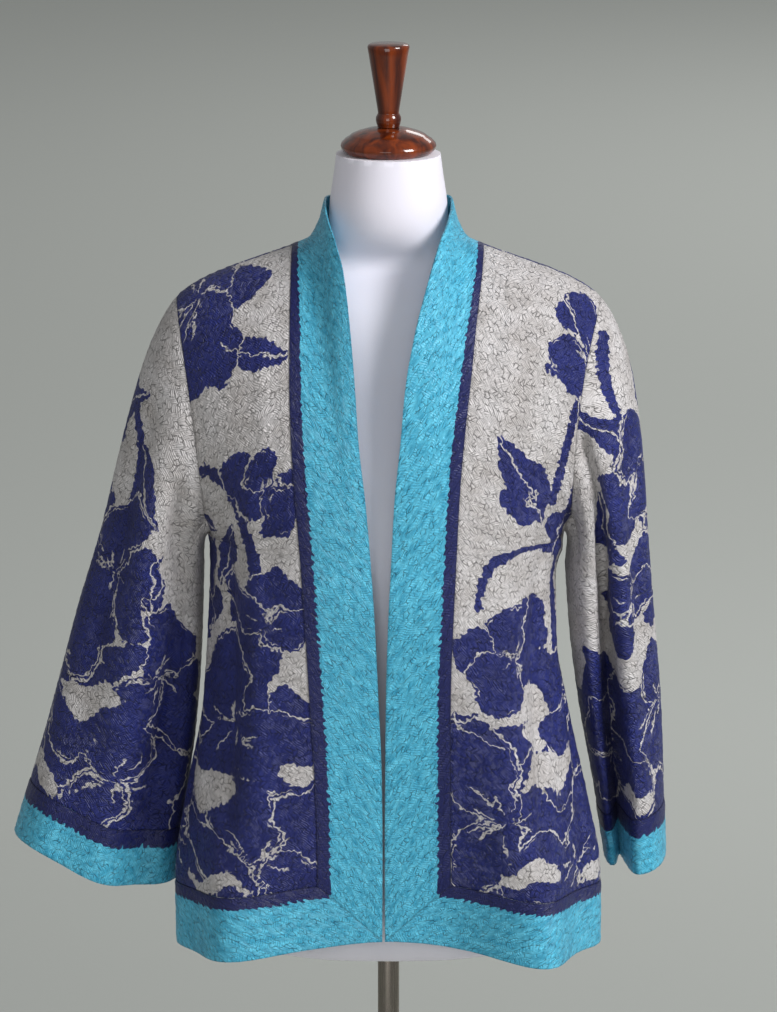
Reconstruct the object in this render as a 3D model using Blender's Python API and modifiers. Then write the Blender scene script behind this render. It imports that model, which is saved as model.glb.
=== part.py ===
"""A kimono jacket on a limbless dress form with a turned wooden neck cap, a pole and a round base.

Metres, +Z up, the floor at z = 0. The jacket faces -Y, and +X is its own left side.
The cloth is a set of walls. Each panel is a grid of points on one smooth garment surface, moved out by
the cloth's thickness, and neighbouring panels share the points of their seam, less a small gap.
"""
import math

import bmesh
import bpy
import numpy as np
from mathutils import Vector

# Cloth and seams
PANEL_WALL = 0.0015
BAND_WALL = 0.0022
SEAM_GAP = 0.0003
BORDER_WIDTH = 0.062
CUFF_WIDTH = 0.056

# Garment heights and widths
UNDERARM_Z = 1.141
NECK_POINT_X = 0.0895
SHOULDER_TIP_X = 0.198
SHOULDER_SPREAD = 1.60
SPREAD_POWER = 1.3
UPPER_SPAN = 0.27
NECKLINE_BACK_Y = 0.084
COLLAR_TOP_BACK_Y = 0.070
COLLAR_TOP_X = 0.0580
ARMHOLE_X = 0.1715
ARMHOLE_SPREAD = 0.0265
ARMHOLE_POWER = {1: 2.8, -1: 1.5}
SCYE_SHARE = 0.11
SCYE_ROWS = (0.025, 0.062, 0.11)
SCYE_DIP = 0.007

# Grid counts
FRONT_COLUMNS = 12
NECK_COLUMNS = 3
LOWER_ROWS = 11
UPPER_ROWS = 11
BORDER_ROWS = 3
CAP_ROWS = 6
TUBE_ROWS = 6
CUFF_ROWS = 2

# The shoulder line from the centre out: steep where the collar stands, then down to the sleeve.
SHOULDER = {
    "x": (0.0, 0.030, 0.045, 0.0580, 0.0625, 0.0735, 0.0895, 0.125, 0.155, 0.180, 0.198, 0.230, 0.300),
    "z": (1.547, 1.517, 1.487, 1.4560, 1.4370, 1.4180, 1.4115, 1.3990, 1.3880, 1.3760, 1.3625, 1.320, 1.200),
}

# One row for each level of the body: half widths of the +X and -X sides, depths of the front and the
# back, the Y of the side seam, and how square the section is.
LEVELS = {
    "z":          (1.141, 1.101, 1.045, 0.971, 0.881, 0.811, 0.741),
    "half_left":  (0.165, 0.156, 0.157, 0.170, 0.190, 0.202, 0.2025),
    "half_right": (0.168, 0.166, 0.168, 0.176, 0.194, 0.203, 0.2025),
    "front":      (0.128, 0.131, 0.128, 0.124, 0.121, 0.119, 0.118),
    "back":       (0.105, 0.104, 0.103, 0.106, 0.114, 0.122, 0.128),
    "side_y":     (-0.002, -0.008, -0.018, -0.028, -0.040, -0.046, -0.048),
    "square":     (2.35, 2.35, 2.35, 2.35, 2.35, 2.35, 2.35),
}

# One row for each hanging fold: its angle from the centre front, the way it points, how wide it is,
# where it starts and how far it stands out at the hem.
FOLDS = (
    {"angle": 36, "points": 24, "spread": 14, "top_z": 1.14, "stands": 0.052},
    {"angle": -38, "points": -36, "spread": 15, "top_z": 1.12, "stands": 0.034},
    {"angle": 17, "points": 10, "spread": 9, "top_z": 0.96, "stands": -0.004},
    {"angle": 108, "points": 105, "spread": 14, "top_z": 1.02, "stands": -0.008},
    {"angle": -108, "points": -105, "spread": 14, "top_z": 1.02, "stands": -0.008},
    {"angle": 146, "points": 150, "spread": 13, "top_z": 1.13, "stands": 0.028},
    {"angle": -150, "points": -155, "spread": 13, "top_z": 1.13, "stands": 0.030},
    {"angle": 180, "points": 180, "spread": 11, "top_z": 1.10, "stands": -0.006},
)

# One row for each height of the front edge: how far the band's open edge and its seam with the panel lie
# from the centre, on the jacket's left and right. The left edge crosses the centre low down.
FRONT_EDGE = {
    "z":          (0.741, 0.860, 0.932, 1.006, 1.080, 1.137, 1.193, 1.249, 1.302, 1.353, 1.402, 1.426, 1.456),
    "open_left":  (-0.0034, -0.0036, -0.0032, -0.0025, -0.0005, 0.0023, 0.0051, 0.0106, 0.0153, 0.0246, 0.0380,
                   0.0460, 0.0580),
    "open_right": (0.0058, 0.0055, 0.0062, 0.0092, 0.0125, 0.0162, 0.0208, 0.0270, 0.0305, 0.0348, 0.0410,
                   0.0480, 0.0580),
    "seam_left":  (0.0595, 0.0588, 0.0583, 0.0580, 0.0600, 0.0625, 0.0650, 0.0695, 0.0755, 0.0810, 0.0875,
                   0.0895, 0.0895),
    "seam_right": (0.0670, 0.0672, 0.0695, 0.0735, 0.0776, 0.0813, 0.0857, 0.0895, 0.0910, 0.0908, 0.0900,
                   0.0895, 0.0895),
}
SIDE_NAMES = {1: "left", -1: "right"}
RIM_ORDER = Vector((0.37, 0.11, 1.0))

# The hem's height by angle from the centre front.
HEM = {
    "angle": (0, 20, 36, 60, 90, 135, 180),
    "z":     (0.766, 0.759, 0.751, 0.746, 0.744, 0.747, 0.749),
}

# One row for each ring of a sleeve, from the armpit to the cuff's edge: its height, its inner and outer
# X, its front and back Y, how much its outer side is raised, how far its front and back dip, and how far
# it is turned about Z.
SLEEVES = {
    "left": {
        "side": 1,
        "z":     (1.112, 1.050, 0.971, 0.881, 0.806),
        "inner": (0.1700, 0.1745, 0.1845, 0.2005, 0.2125),
        "outer": (0.2450, 0.2510, 0.2590, 0.2650, 0.2685),
        "front": (-0.060, -0.054, -0.046, -0.040, -0.034),
        "back":  (0.068, 0.076, 0.084, 0.092, 0.098),
        "rise":  (0.012, 0.008, 0.006, 0.004, 0.003),
        "dip":   (0.000, 0.001, 0.002, 0.002, 0.002),
        "turn":  (0, 0, 0, 0, 0),
        "folds": (
            {"angle": (98, 100, 104, 112, 120), "spread": 15, "depth": (0.018, 0.040, 0.050, 0.056, 0.060)},
            {"angle": (250, 250, 250, 250, 250), "spread": 20, "depth": (0.004, 0.010, 0.014, 0.016, 0.018)},
        ),
    },
    "right": {
        "side": -1,
        "z":     (1.116, 1.045, 0.971, 0.900, 0.8145),
        "inner": (0.1770, 0.1800, 0.1860, 0.1960, 0.2070),
        "outer": (0.2720, 0.2930, 0.3135, 0.3340, 0.3600),
        "front": (-0.062, -0.062, -0.060, -0.058, -0.060),
        "back":  (0.062, 0.066, 0.068, 0.066, 0.062),
        "rise":  (0.014, 0.018, 0.020, 0.022, 0.0245),
        "dip":   (0.000, 0.003, 0.006, 0.010, 0.014),
        "turn":  (2, 6, 9, 12, 14),
        "folds": (
            {"angle": (118, 116, 114, 112, 110), "spread": 17, "depth": (0.010, 0.014, 0.014, 0.013, 0.012)},
            {"angle": (60, 60, 60, 60, 60), "spread": 16, "depth": (0.001, 0.003, 0.005, 0.006, 0.007)},
            {"angle": (250, 250, 250, 250, 250), "spread": 20, "depth": (0.004, 0.008, 0.012, 0.014, 0.016)},
        ),
    },
}
RING_SQUARE = 2.2
CAP_ANGLES = (52, 58, 18)
CAP_PULL = 0.88

# One row for each level of the dress form.
FORM_LEVELS = {
    "z":      (0.7335, 0.7405, 0.785, 0.860, 0.930, 1.000, 1.060, 1.115, 1.170, 1.240, 1.300, 1.340, 1.364,
               1.377, 1.386, 1.393, 1.400, 1.408, 1.420, 1.436, 1.456, 1.478, 1.4990),
    "half":   (0.138, 0.147, 0.153, 0.153, 0.136, 0.119, 0.125, 0.139, 0.146, 0.150, 0.157, 0.165, 0.170,
               0.168, 0.156, 0.1402, 0.102, 0.072, 0.060, 0.0560, 0.0555, 0.0515, 0.0490),
    "front":  (0.084, 0.093, 0.102, 0.104, 0.096, 0.092, 0.106, 0.117, 0.112, 0.097, 0.080, 0.068, 0.057,
               0.046, 0.037, 0.031, 0.030, 0.033, 0.045, 0.053, 0.0545, 0.0515, 0.0490),
    "back":   (0.080, 0.088, 0.097, 0.099, 0.094, 0.086, 0.084, 0.086, 0.087, 0.085, 0.077, 0.064, 0.052,
               0.041, 0.033, 0.027, 0.020, 0.027, 0.044, 0.053, 0.0545, 0.0515, 0.0490),
    "square": (2.5, 2.5, 2.45, 2.35, 2.2, 2.1, 2.15, 2.25, 2.3, 2.35, 2.35, 2.3, 2.2,
               2.1, 2.0, 2.0, 2.0, 2.0, 2.0, 2.0, 2.0, 2.0, 2.0),
}
FORM_SIDES = 32

# Turned wood, as radius and height above the neck's top, from the top down
NECK_TOP_Z = 1.4990
CAP_PROFILE = (
    (0.0, 0.0248), (0.0120, 0.0246), (0.0200, 0.0232), (0.0290, 0.0205), (0.0352, 0.0176), (0.0362, 0.0164),
    (0.0405, 0.0138), (0.0437, 0.0106), (0.0447, 0.0078), (0.0440, 0.0050), (0.0415, 0.0020), (0.0395, 0.0003),
    (0.0, 0.0003),
)
FINIAL_PROFILE = (
    (0.0, 0.1025), (0.0170, 0.1025), (0.0190, 0.1015), (0.0196, 0.0995), (0.0186, 0.0930), (0.0142, 0.0660),
    (0.0104, 0.0420), (0.0098, 0.0378), (0.0104, 0.0370), (0.0116, 0.0345), (0.0119, 0.0315), (0.0114, 0.0285),
    (0.0104, 0.0263), (0.0104, 0.0251), (0.0, 0.0251),
)
WOOD_SIDES = 28

# Stand
POLE_RADIUS = 0.0104
BASE_RADIUS = 0.165
BASE_RIM = 0.007
BASE_CENTRE = 0.016
SOCKET_RADIUS = 0.018
SOCKET_HEIGHT = 0.030
SOCKET_DEPTH_Z = 0.008
BASE_SIDES = 40

# Material name to base colour (linear), roughness and metallic
MATERIALS = {
    "printed_silk": ((0.34, 0.33, 0.36), 0.55, 0.0),
    "turquoise_silk": ((0.03, 0.36, 0.50), 0.50, 0.0),
    "form_jersey": ((0.80, 0.79, 0.84), 0.75, 0.0),
    "cherry_wood": ((0.12, 0.025, 0.010), 0.25, 0.0),
    "steel": ((0.55, 0.53, 0.50), 0.25, 1.0),
}


def smooth(table, column, at, key="z"):
    """The value of a table's column, smoothly joined between its rows and level past its ends."""
    keys = table[key]
    values = table[column]
    order = sorted(range(len(keys)), key=lambda i: keys[i])
    xs = [keys[i] for i in order]
    ys = [values[i] for i in order]
    at = min(max(at, xs[0]), xs[-1])
    i = min(max(np.searchsorted(xs, at) - 1, 0), len(xs) - 2)

    def slope(j):
        if j <= 0 or j >= len(xs) - 1:
            return 0.0
        before = (ys[j] - ys[j - 1]) / (xs[j] - xs[j - 1])
        after = (ys[j + 1] - ys[j]) / (xs[j + 1] - xs[j])
        if before * after <= 0:
            return 0.0
        return 2 * before * after / (before + after)

    span = xs[i + 1] - xs[i]
    t = (at - xs[i]) / span
    start = (1 + 2 * t) * (1 - t) ** 2 * ys[i] + t * (1 - t) ** 2 * span * slope(i)
    end = t * t * (3 - 2 * t) * ys[i + 1] + t * t * (t - 1) * span * slope(i + 1)
    return start + end


def superellipse(angle, square):
    """Radius of a rounded square of half width 1, at an angle."""
    s, c = abs(math.sin(angle)), abs(math.cos(angle))
    return (s**square + c**square) ** (-1 / square)


def wrap(angle):
    return (angle + math.pi) % (2 * math.pi) - math.pi


def section(angle, z):
    """X and Y of the body at a height. The angle is 0 at the centre front and grows towards +X."""
    half = smooth(LEVELS, "half_left" if wrap(angle) >= 0 else "half_right", z)
    side_y = smooth(LEVELS, "side_y", z)
    r = superellipse(angle, smooth(LEVELS, "square", z))
    s, c = math.sin(angle), math.cos(angle)
    x = half * r * s
    if c >= 0:
        y = side_y - (smooth(LEVELS, "front", z) + side_y) * r * c
    else:
        y = side_y - (smooth(LEVELS, "back", z) - side_y) * r * c
    for fold in FOLDS:
        if z >= fold["top_z"]:
            continue
        grown = ((fold["top_z"] - z) / (fold["top_z"] - LEVELS["z"][-1])) ** 1.25
        away = math.degrees(wrap(angle - math.radians(fold["angle"]))) / fold["spread"]
        stands = fold["stands"] * grown * math.exp(-away * away)
        x += stands * math.sin(math.radians(fold["points"]))
        y -= stands * math.cos(math.radians(fold["points"]))
    return x, y


def shoulder_height(x):
    """Height of the shoulder line, at a distance from the centre."""
    return smooth(SHOULDER, "z", abs(x), key="x")


def body(angle, h):
    """A point of the garment's body. h is the height above the underarm: below it in metres, and above it
    up to UPPER_SPAN, where the surface has curved over to the shoulder line."""
    if h <= 0:
        x, y = section(angle, UNDERARM_Z + h)
        return np.array((x, y, UNDERARM_Z + h))
    x0, y0 = section(angle, UNDERARM_Z)
    over = h / UPPER_SPAN * math.pi / 2
    top = shoulder_height(x0 * SHOULDER_SPREAD)
    x = x0 * (1 + (SHOULDER_SPREAD - 1) * math.sin(over) ** SPREAD_POWER)
    return np.array((x, y0 * math.cos(over), UNDERARM_Z + (top - UNDERARM_Z) * math.sin(over)))


def body_normal(angle, h):
    """Outward direction of the body surface."""
    da, dh = 0.004, 0.0008
    h = min(h, UPPER_SPAN - 2 * dh)
    along = body(angle + da, h) - body(angle - da, h)
    up = body(angle, h + dh) - body(angle, h - dh)
    n = np.cross(along, up)
    return n / np.linalg.norm(n)


def seam_normal(angle, h):
    """As body_normal, and level from front to back where the front and back meet on the shoulder."""
    n = body_normal(angle, h)
    if h >= UPPER_SPAN - 1e-6:
        n[1] = 0.0
        n /= np.linalg.norm(n)
    return n


def bisect(test, low, high, steps=40):
    """The place between low and high where test changes from False to True."""
    for _ in range(steps):
        middle = (low + high) / 2
        if test(middle):
            high = middle
        else:
            low = middle
    return (low + high) / 2


def angle_at_x(h, wanted, side):
    """Angle of the front point at height h whose distance from the centre, on this side, is wanted(z)."""

    def past(a):
        p = body(side * a, h)
        return side * p[0] > wanted(p[2])

    return bisect(past, -0.2, math.pi / 2)


def armhole_x(z, side):
    rise = max((z - UNDERARM_Z) / (shoulder_height(SHOULDER_TIP_X) - UNDERARM_Z), 0)
    return ARMHOLE_X + ARMHOLE_SPREAD * rise ** ARMHOLE_POWER[side]


def armhole_angle(h, side):
    """Angle of the armhole's edge, rounded into the side seam at the underarm."""
    share = h / UPPER_SPAN
    edge = angle_at_x(max(h, SCYE_SHARE * UPPER_SPAN), lambda z: armhole_x(z, side), side)
    if share >= SCYE_SHARE:
        return edge
    left = 1 - share / SCYE_SHARE
    return edge + (math.pi / 2 - edge) * (1 - math.sqrt(max(1 - left * left, 0)))


def hem_height(angle):
    return smooth(HEM, "z", math.degrees(abs(wrap(angle))), key="angle")


def lower_h(angle, share):
    """h at a share of the way from the underarm down to the seam of the hem's border."""
    return share * (hem_height(angle) + BORDER_WIDTH - UNDERARM_Z)


def upper_steps():
    """h of each row above the underarm, closer together round the underarm curve."""
    rest = UPPER_ROWS - len(SCYE_ROWS)
    spread = [SCYE_SHARE + (1 - SCYE_SHARE) * k / rest for k in range(1, rest + 1)]
    return [UPPER_SPAN * share for share in SCYE_ROWS + tuple(spread)]


def under_scye(c):
    """How far the row at the underarm's height dips, by its share of the way to the side seam."""
    return -SCYE_DIP * math.exp(-(((c - 0.92) / 0.10) ** 2)) * (c < 0.999)


def seam_angle(h, side):
    return angle_at_x(h, lambda z: smooth(FRONT_EDGE, "seam_" + SIDE_NAMES[side], z), side)


def opening_angle(h, side):
    return angle_at_x(h, lambda z: smooth(FRONT_EDGE, "open_" + SIDE_NAMES[side], z), side)


def column_shares(count):
    return [i / count for i in range(count + 1)]


def front_rows(side):
    """(angle, h) of each point of a front panel, row by row from the hem's seam up to the shoulder."""
    rows = []
    for k in range(LOWER_ROWS, -1, -1):
        share = k / LOWER_ROWS
        start = seam_angle(lower_h(0.35, share), side)
        angles = [start + (math.pi / 2 - start) * c for c in column_shares(FRONT_COLUMNS)]
        dips = [0.0 if k else under_scye(c) for c in column_shares(FRONT_COLUMNS)]
        rows.append([(side * a, lower_h(a, share) + dip) for a, dip in zip(angles, dips)])
    for h in upper_steps():
        start, end = seam_angle(h, side), armhole_angle(h, side)
        rows.append([(side * (start + (end - start) * c), h) for c in column_shares(FRONT_COLUMNS)])
    return rows


def find_back(x_wanted, y_wanted, side):
    """(angle, h) of the back's point with this X and Y above the underarm."""

    def angle_for(h):
        return math.pi - bisect(lambda a: abs(body(side * (math.pi - a), h)[0]) > x_wanted, 0.0, math.pi / 2)

    h = bisect(lambda t: body(side * angle_for(t), t)[1] < y_wanted, 0.0, UPPER_SPAN)
    return side * angle_for(h), h


def neck_turns():
    """Angles round the back of the neck from the shoulder (90 degrees) to the centre back (180)."""
    return [math.radians(90 + 90 * j / NECK_COLUMNS) for j in range(1, NECK_COLUMNS + 1)]


def on_neckline(half, deep, turn, side):
    """(angle, h) of a point of the back's neckline or of the collar's top, by its turn round the neck."""
    return find_back(max(half * math.sin(turn), 1e-5), -deep * math.cos(turn), side)


def back_rows():
    """(angle, h) of each point of the back, in rows from the hem's seam up, and across from +X to -X."""
    top = {}
    for side in (1, -1):
        top[side] = [on_neckline(NECK_POINT_X, NECKLINE_BACK_Y, t, side) for t in neck_turns()]
    rows = []
    uppers = [0.0] + upper_steps()
    for r in range(LOWER_ROWS + UPPER_ROWS + 1):
        row = {}
        for side in (1, -1):
            neck_start = math.pi - seam_angle(UPPER_SPAN, side)
            if r <= LOWER_ROWS:
                share = 1 - r / LOWER_ROWS
                start, rise = math.pi / 2, None
            else:
                rise = uppers[r - LOWER_ROWS]
                start = math.pi - armhole_angle(rise, side)
            points = []
            for c in column_shares(FRONT_COLUMNS):
                a = start + (neck_start - start) * c
                dip = under_scye(1 - c) if r == LOWER_ROWS else 0.0
                points.append((side * a, lower_h(a, share) + dip if rise is None else rise))
            for angle, high in top[side]:
                a = abs(angle)
                points.append((side * a, lower_h(a, share) if rise is None else rise * high / UPPER_SPAN))
            row[side] = points
        rows.append(row[1] + row[-1][-2::-1])
    return rows


def front_corner(side):
    """(angle, h) of the corner where a front's edge meets the hem."""
    h = hem_height(0.01) - UNDERARM_Z
    return side * opening_angle(h, side), h


def band_rows(side):
    """(angle, h) of each cross line of the front band, from the mitre at the hem, up the front, over the
    shoulder and round the back of the neck to its centre seam."""
    ends = []
    corner_h = front_corner(side)[1]
    for k in range(LOWER_ROWS, -1, -1):
        share = k / LOWER_ROWS
        seam = seam_angle(lower_h(0.35, share), side)
        edge_h = lower_h(0.01, share)
        edge_h += (corner_h - lower_h(0.01, 1)) * share**5
        ends.append(((side * seam, lower_h(seam, share)), (side * opening_angle(edge_h, side), edge_h)))
    for h in upper_steps():
        ends.append(((side * seam_angle(h, side), h), (side * opening_angle(h, side), h)))
    for t in neck_turns():
        low = on_neckline(NECK_POINT_X, NECKLINE_BACK_Y, t, side)
        high = on_neckline(COLLAR_TOP_X, COLLAR_TOP_BACK_Y, t, side)
        ends.append((low, high))
    return [[between(a, b, c) for c in column_shares(BORDER_ROWS)] for a, b in ends]


def between(a, b, share):
    return tuple(p + (q - p) * share for p, q in zip(a, b))


def hem_rows(top_row, corner=None):
    """(angle, h) of a hem border's points, row by row from the hem up to the panel's seam. A front's border
    ends in a mitre, so its lower edge starts at the front corner."""
    first, last = top_row[0][0], top_row[-1][0]
    ends = []
    for angle, h in top_row:
        low = angle if corner is None else corner[0] + (last - corner[0]) * (angle - first) / (last - first)
        ends.append(((angle, h), (low, hem_height(low) - UNDERARM_Z)))
    return [[between(a, b, 1 - r / BORDER_ROWS) for a, b in ends] for r in range(BORDER_ROWS + 1)]


def on_body(rows):
    """Points and outward directions of a grid of (angle, h)."""
    points = np.array([[body(a, h) for a, h in row] for row in rows])
    normals = np.array([[seam_normal(a, h) for a, h in row] for row in rows])
    return points, normals


def rims(rows, columns, closed):
    """The loops of (row, column) round a grid's border: both ends of a tube, or the one edge of a sheet."""
    if closed:
        return [[(r, c) for c in range(columns)] for r in (0, rows - 1)]
    low = [(0, c) for c in range(columns)]
    right = [(r, columns - 1) for r in range(1, rows)]
    high = [(rows - 1, c) for c in range(columns - 2, -1, -1)]
    left = [(r, 0) for r in range(rows - 2, 0, -1)]
    return [low + right + high + left]


def inset(points, normals, closed=False):
    """A grid whose border is drawn in, square to each edge, by half the seam gap."""
    rows, columns = points.shape[:2]
    moved = points.copy()
    for loop in rims(rows, columns, closed):
        edge = np.array([points[r, c] for r, c in loop])
        out = np.array([normals[r, c] for r, c in loop])
        inner = np.array(
            [points[min(max(r, 1), rows - 2), c if closed else min(max(c, 1), columns - 2)] for r, c in loop]
        )
        along = np.roll(edge, -1, axis=0) - edge
        inward = np.cross(out + np.roll(out, -1, axis=0), along)
        inward /= np.linalg.norm(inward, axis=1, keepdims=True)
        towards = inner - edge
        if np.sum(inward * (towards + np.roll(towards, -1, axis=0))) < 0:
            inward = -inward
        before = np.roll(inward, 1, axis=0)
        shared = 1 + np.sum(before * inward, axis=1, keepdims=True)
        step = (before + inward) / np.maximum(shared, 0.6)
        for (r, c), at in zip(loop, edge + step * SEAM_GAP / 2):
            moved[r, c] = at
    return moved


def wall(name, points, normals, thickness, closed=False):
    """A cloth wall: the grid, the same grid moved out by the thickness, and the rim between them.
    closed joins the last column to the first."""
    points = inset(points, normals, closed)
    rows, columns = points.shape[:2]
    mesh = bmesh.new()
    inner = [[mesh.verts.new(p) for p in row] for row in points]
    outer = [[mesh.verts.new(p) for p in row] for row in points + normals * thickness]
    across = columns if closed else columns - 1
    for r in range(rows - 1):
        for c in range(across):
            d = (c + 1) % columns
            mesh.faces.new((outer[r][c], outer[r][d], outer[r + 1][d], outer[r + 1][c]))
            mesh.faces.new((inner[r][c], inner[r + 1][c], inner[r + 1][d], inner[r][d]))
    for loop in rims(rows, columns, closed):
        for (r, c), (q, d) in zip(loop, loop[1:] + loop[:1]):
            rim_faces(mesh, inner[r][c], inner[q][d], outer[q][d], outer[r][c])
    bmesh.ops.recalc_face_normals(mesh, faces=mesh.faces)
    return finish(name, mesh)


def rim_faces(mesh, low, low_next, high_next, high):
    """One rim quad as two triangles, split the same way on both walls of a seam: from its lower end."""
    if low.co.dot(RIM_ORDER) < low_next.co.dot(RIM_ORDER):
        mesh.faces.new((low, low_next, high_next))
        mesh.faces.new((low, high_next, high))
    else:
        mesh.faces.new((low, low_next, high))
        mesh.faces.new((low_next, high_next, high))


def finish(name, mesh):
    data = bpy.data.meshes.new(name)
    mesh.to_mesh(data)
    mesh.free()
    return bpy.data.objects.new(name, data)


def loft_solid(name, rings):
    """A closed solid through rings of points, with a flat cap at each end."""
    mesh = bmesh.new()
    loops = [[mesh.verts.new(p) for p in ring] for ring in rings]
    count = len(loops[0])
    for low, high in zip(loops, loops[1:]):
        for c in range(count):
            d = (c + 1) % count
            mesh.faces.new((low[c], low[d], high[d], high[c]))
    mesh.faces.new(loops[0][::-1])
    mesh.faces.new(loops[-1])
    bmesh.ops.recalc_face_normals(mesh, faces=mesh.faces)
    return finish(name, mesh)


def sleeve_ring(spec, share, angle):
    """A point of the sleeve's tube. share runs from the armpit (0) to the cuff's edge (1), and the angle
    from the outer side (0) over the front (90 degrees) and the body side (180) to the back (270)."""
    rows = {"z": tuple(range(len(spec["z"])))}
    at = share * (len(spec["z"]) - 1)

    def value(numbers):
        return smooth({**rows, "v": numbers}, "v", at)

    inner, outer = value(spec["inner"]), value(spec["outer"])
    front, back = value(spec["front"]), value(spec["back"])
    half, deep = (outer - inner) / 2, (back - front) / 2
    r = superellipse(angle, RING_SQUARE)
    u, v = half * r * math.cos(angle), -deep * r * math.sin(angle)
    for fold in spec["folds"]:
        away = math.degrees(wrap(angle - math.radians(value(fold["angle"])))) / fold["spread"]
        push = value(fold["depth"]) * math.exp(-away * away)
        v += push * math.copysign(min(abs(math.sin(angle)) * 3, 1), math.sin(angle))
    turn = math.radians(value(spec["turn"]))
    x = u * math.cos(turn) + v * math.sin(turn)
    y = -u * math.sin(turn) + v * math.cos(turn)
    z = value(spec["z"]) + value(spec["rise"]) * u / half - value(spec["dip"]) * math.sin(angle) ** 4
    return np.array((spec["side"] * ((inner + outer) / 2 + x), (front + back) / 2 + y, z))


def armhole_loop(side):
    """(angle, h) round the armhole: from the shoulder tip down the front, under the arm and up the back."""
    rises = [0.0] + upper_steps()
    front = [(side * armhole_angle(h, side), h) for h in reversed(rises[1:])]
    back = [(side * (math.pi - armhole_angle(h, side)), h) for h in rises[1:-1]]
    return front + [(side * math.pi / 2, 0.0)] + back


def sleeve_grid(spec):
    """Points of a sleeve and its cuff in rows from the armhole down, and each column's start direction."""
    side = spec["side"]
    loop = armhole_loop(side)
    count = len(loop)
    turns = [2 * math.pi * k / count for k in range(count)]
    starts = [body(a, h) for a, h in loop]
    columns = []
    for start, turn in zip(starts, turns):
        low = sleeve_ring(spec, 0.0, turn)
        along = sleeve_ring(spec, 0.05, turn) - low
        along /= np.linalg.norm(along)
        under = (1 - math.cos(turn)) / 2
        slope = math.radians(np.interp(under, (0, 0.5, 1), CAP_ANGLES))
        leave = np.array((side * math.cos(slope), 0.0, -math.sin(slope)))
        pull = CAP_PULL * np.linalg.norm(low - start)
        column = []
        for k in range(CAP_ROWS + 1):
            t = k / CAP_ROWS
            column.append(
                (1 + 2 * t) * (1 - t) ** 2 * start
                + t * (1 - t) ** 2 * pull * leave
                + t * t * (3 - 2 * t) * low
                + t * t * (t - 1) * pull * along
            )
        columns.append(column + [sleeve_ring(spec, t, turn) for t in tube_shares(spec)])
    return np.array(columns).transpose(1, 0, 2)


def tube_shares(spec):
    """The share of the way down the tube of each row below the cap, with one row on the cuff's seam."""
    edge = sleeve_ring(spec, 1.0, math.pi / 2)
    seam = bisect(lambda t: np.linalg.norm(edge - sleeve_ring(spec, t, math.pi / 2)) < CUFF_WIDTH, 0.0, 1.0)
    tube = [seam * k / TUBE_ROWS for k in range(1, TUBE_ROWS + 1)]
    return tube + [seam + (1 - seam) * k / CUFF_ROWS for k in range(1, CUFF_ROWS + 1)]


def grid_normals(points, side):
    """Outward directions of a closed tube's grid, whose rows run down and whose columns run round."""
    down = np.gradient(points, axis=0)
    round_ = np.roll(points, -1, axis=1) - np.roll(points, 1, axis=1)
    n = np.cross(round_, down) * side
    return n / np.linalg.norm(n, axis=-1, keepdims=True)


def mitred(first, second):
    """A shared rim direction for two walls that meet at an angle, long enough to keep both full thick."""
    both = first + second
    both /= np.linalg.norm(both, axis=-1, keepdims=True)
    lean = np.sum(both * first, axis=-1, keepdims=True)
    return both / np.maximum(lean, 0.8)


def make_sleeve(label, side):
    """A sleeve and its cuff. Returns the rim directions that the body's panels share round the armhole."""
    points = sleeve_grid(SLEEVES[label])
    normals = grid_normals(points, side)
    on_armhole = np.array([seam_normal(a, h) for a, h in armhole_loop(side)])
    rim = mitred(on_armhole, normals[0])
    normals[0] = rim
    seam = CAP_ROWS + TUBE_ROWS
    sleeve = wall(f"sleeve_{label}", points[: seam + 1], normals[: seam + 1], PANEL_WALL, closed=True)
    add(sleeve, "printed_silk")
    add(wall(f"cuff_{label}", points[seam:], normals[seam:], BAND_WALL, closed=True), "turquoise_silk")
    return rim


def make_jacket():
    armhole = {side: make_sleeve(label, side) for label, side in (("left", 1), ("right", -1))}
    turn = UPPER_ROWS
    for label, side in (("left", 1), ("right", -1)):
        rows = front_rows(side)
        points, normals = on_body(rows)
        for j in range(UPPER_ROWS + 1):
            normals[LOWER_ROWS + j, -1] = armhole[side][turn - j]
        add(wall(f"front_{label}", points, normals, PANEL_WALL), "printed_silk")
        hem = hem_rows(rows[0], front_corner(side))
        add(wall(f"hem_front_{label}", *on_body(hem), BAND_WALL), "turquoise_silk")
        add(wall(f"band_{label}", *on_body(band_rows(side)), BAND_WALL), "turquoise_silk")
    rows = back_rows()
    points, normals = on_body(rows)
    for j in range(UPPER_ROWS + 1):
        for side, column in ((1, 0), (-1, -1)):
            normals[LOWER_ROWS + j, column] = armhole[side][(turn + j) % (2 * turn)]
    add(wall("back", points, normals, PANEL_WALL), "printed_silk")
    add(wall("hem_back", *on_body(hem_rows(rows[0])), BAND_WALL), "turquoise_silk")


def make_form():
    rings = []
    for i, z in enumerate(FORM_LEVELS["z"]):
        ring = []
        for k in range(FORM_SIDES):
            angle = 2 * math.pi * k / FORM_SIDES
            r = superellipse(angle, FORM_LEVELS["square"][i])
            depth = FORM_LEVELS["front"][i] if math.cos(angle) > 0 else FORM_LEVELS["back"][i]
            ring.append((FORM_LEVELS["half"][i] * r * math.sin(angle), -depth * r * math.cos(angle), z))
        rings.append(ring)
    add(loft_solid("dress_form", rings), "form_jersey")


def turned(name, profile, base_z, sides, material):
    """A turned piece: its profile, from the top down, spun about the pole's axis by a Screw modifier."""
    data = bpy.data.meshes.new(name)
    points = [(radius, 0.0, base_z + height) for radius, height in profile]
    data.from_pydata(points, [(i, i + 1) for i in range(len(points) - 1)], [])
    piece = bpy.data.objects.new(name, data)
    screw = piece.modifiers.new("Turn", "SCREW")
    screw.axis = "Z"
    screw.steps = sides
    screw.render_steps = sides
    screw.use_merge_vertices = True
    screw.merge_threshold = 0.00005
    screw.use_smooth_shade = True
    add(piece, material)


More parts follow.
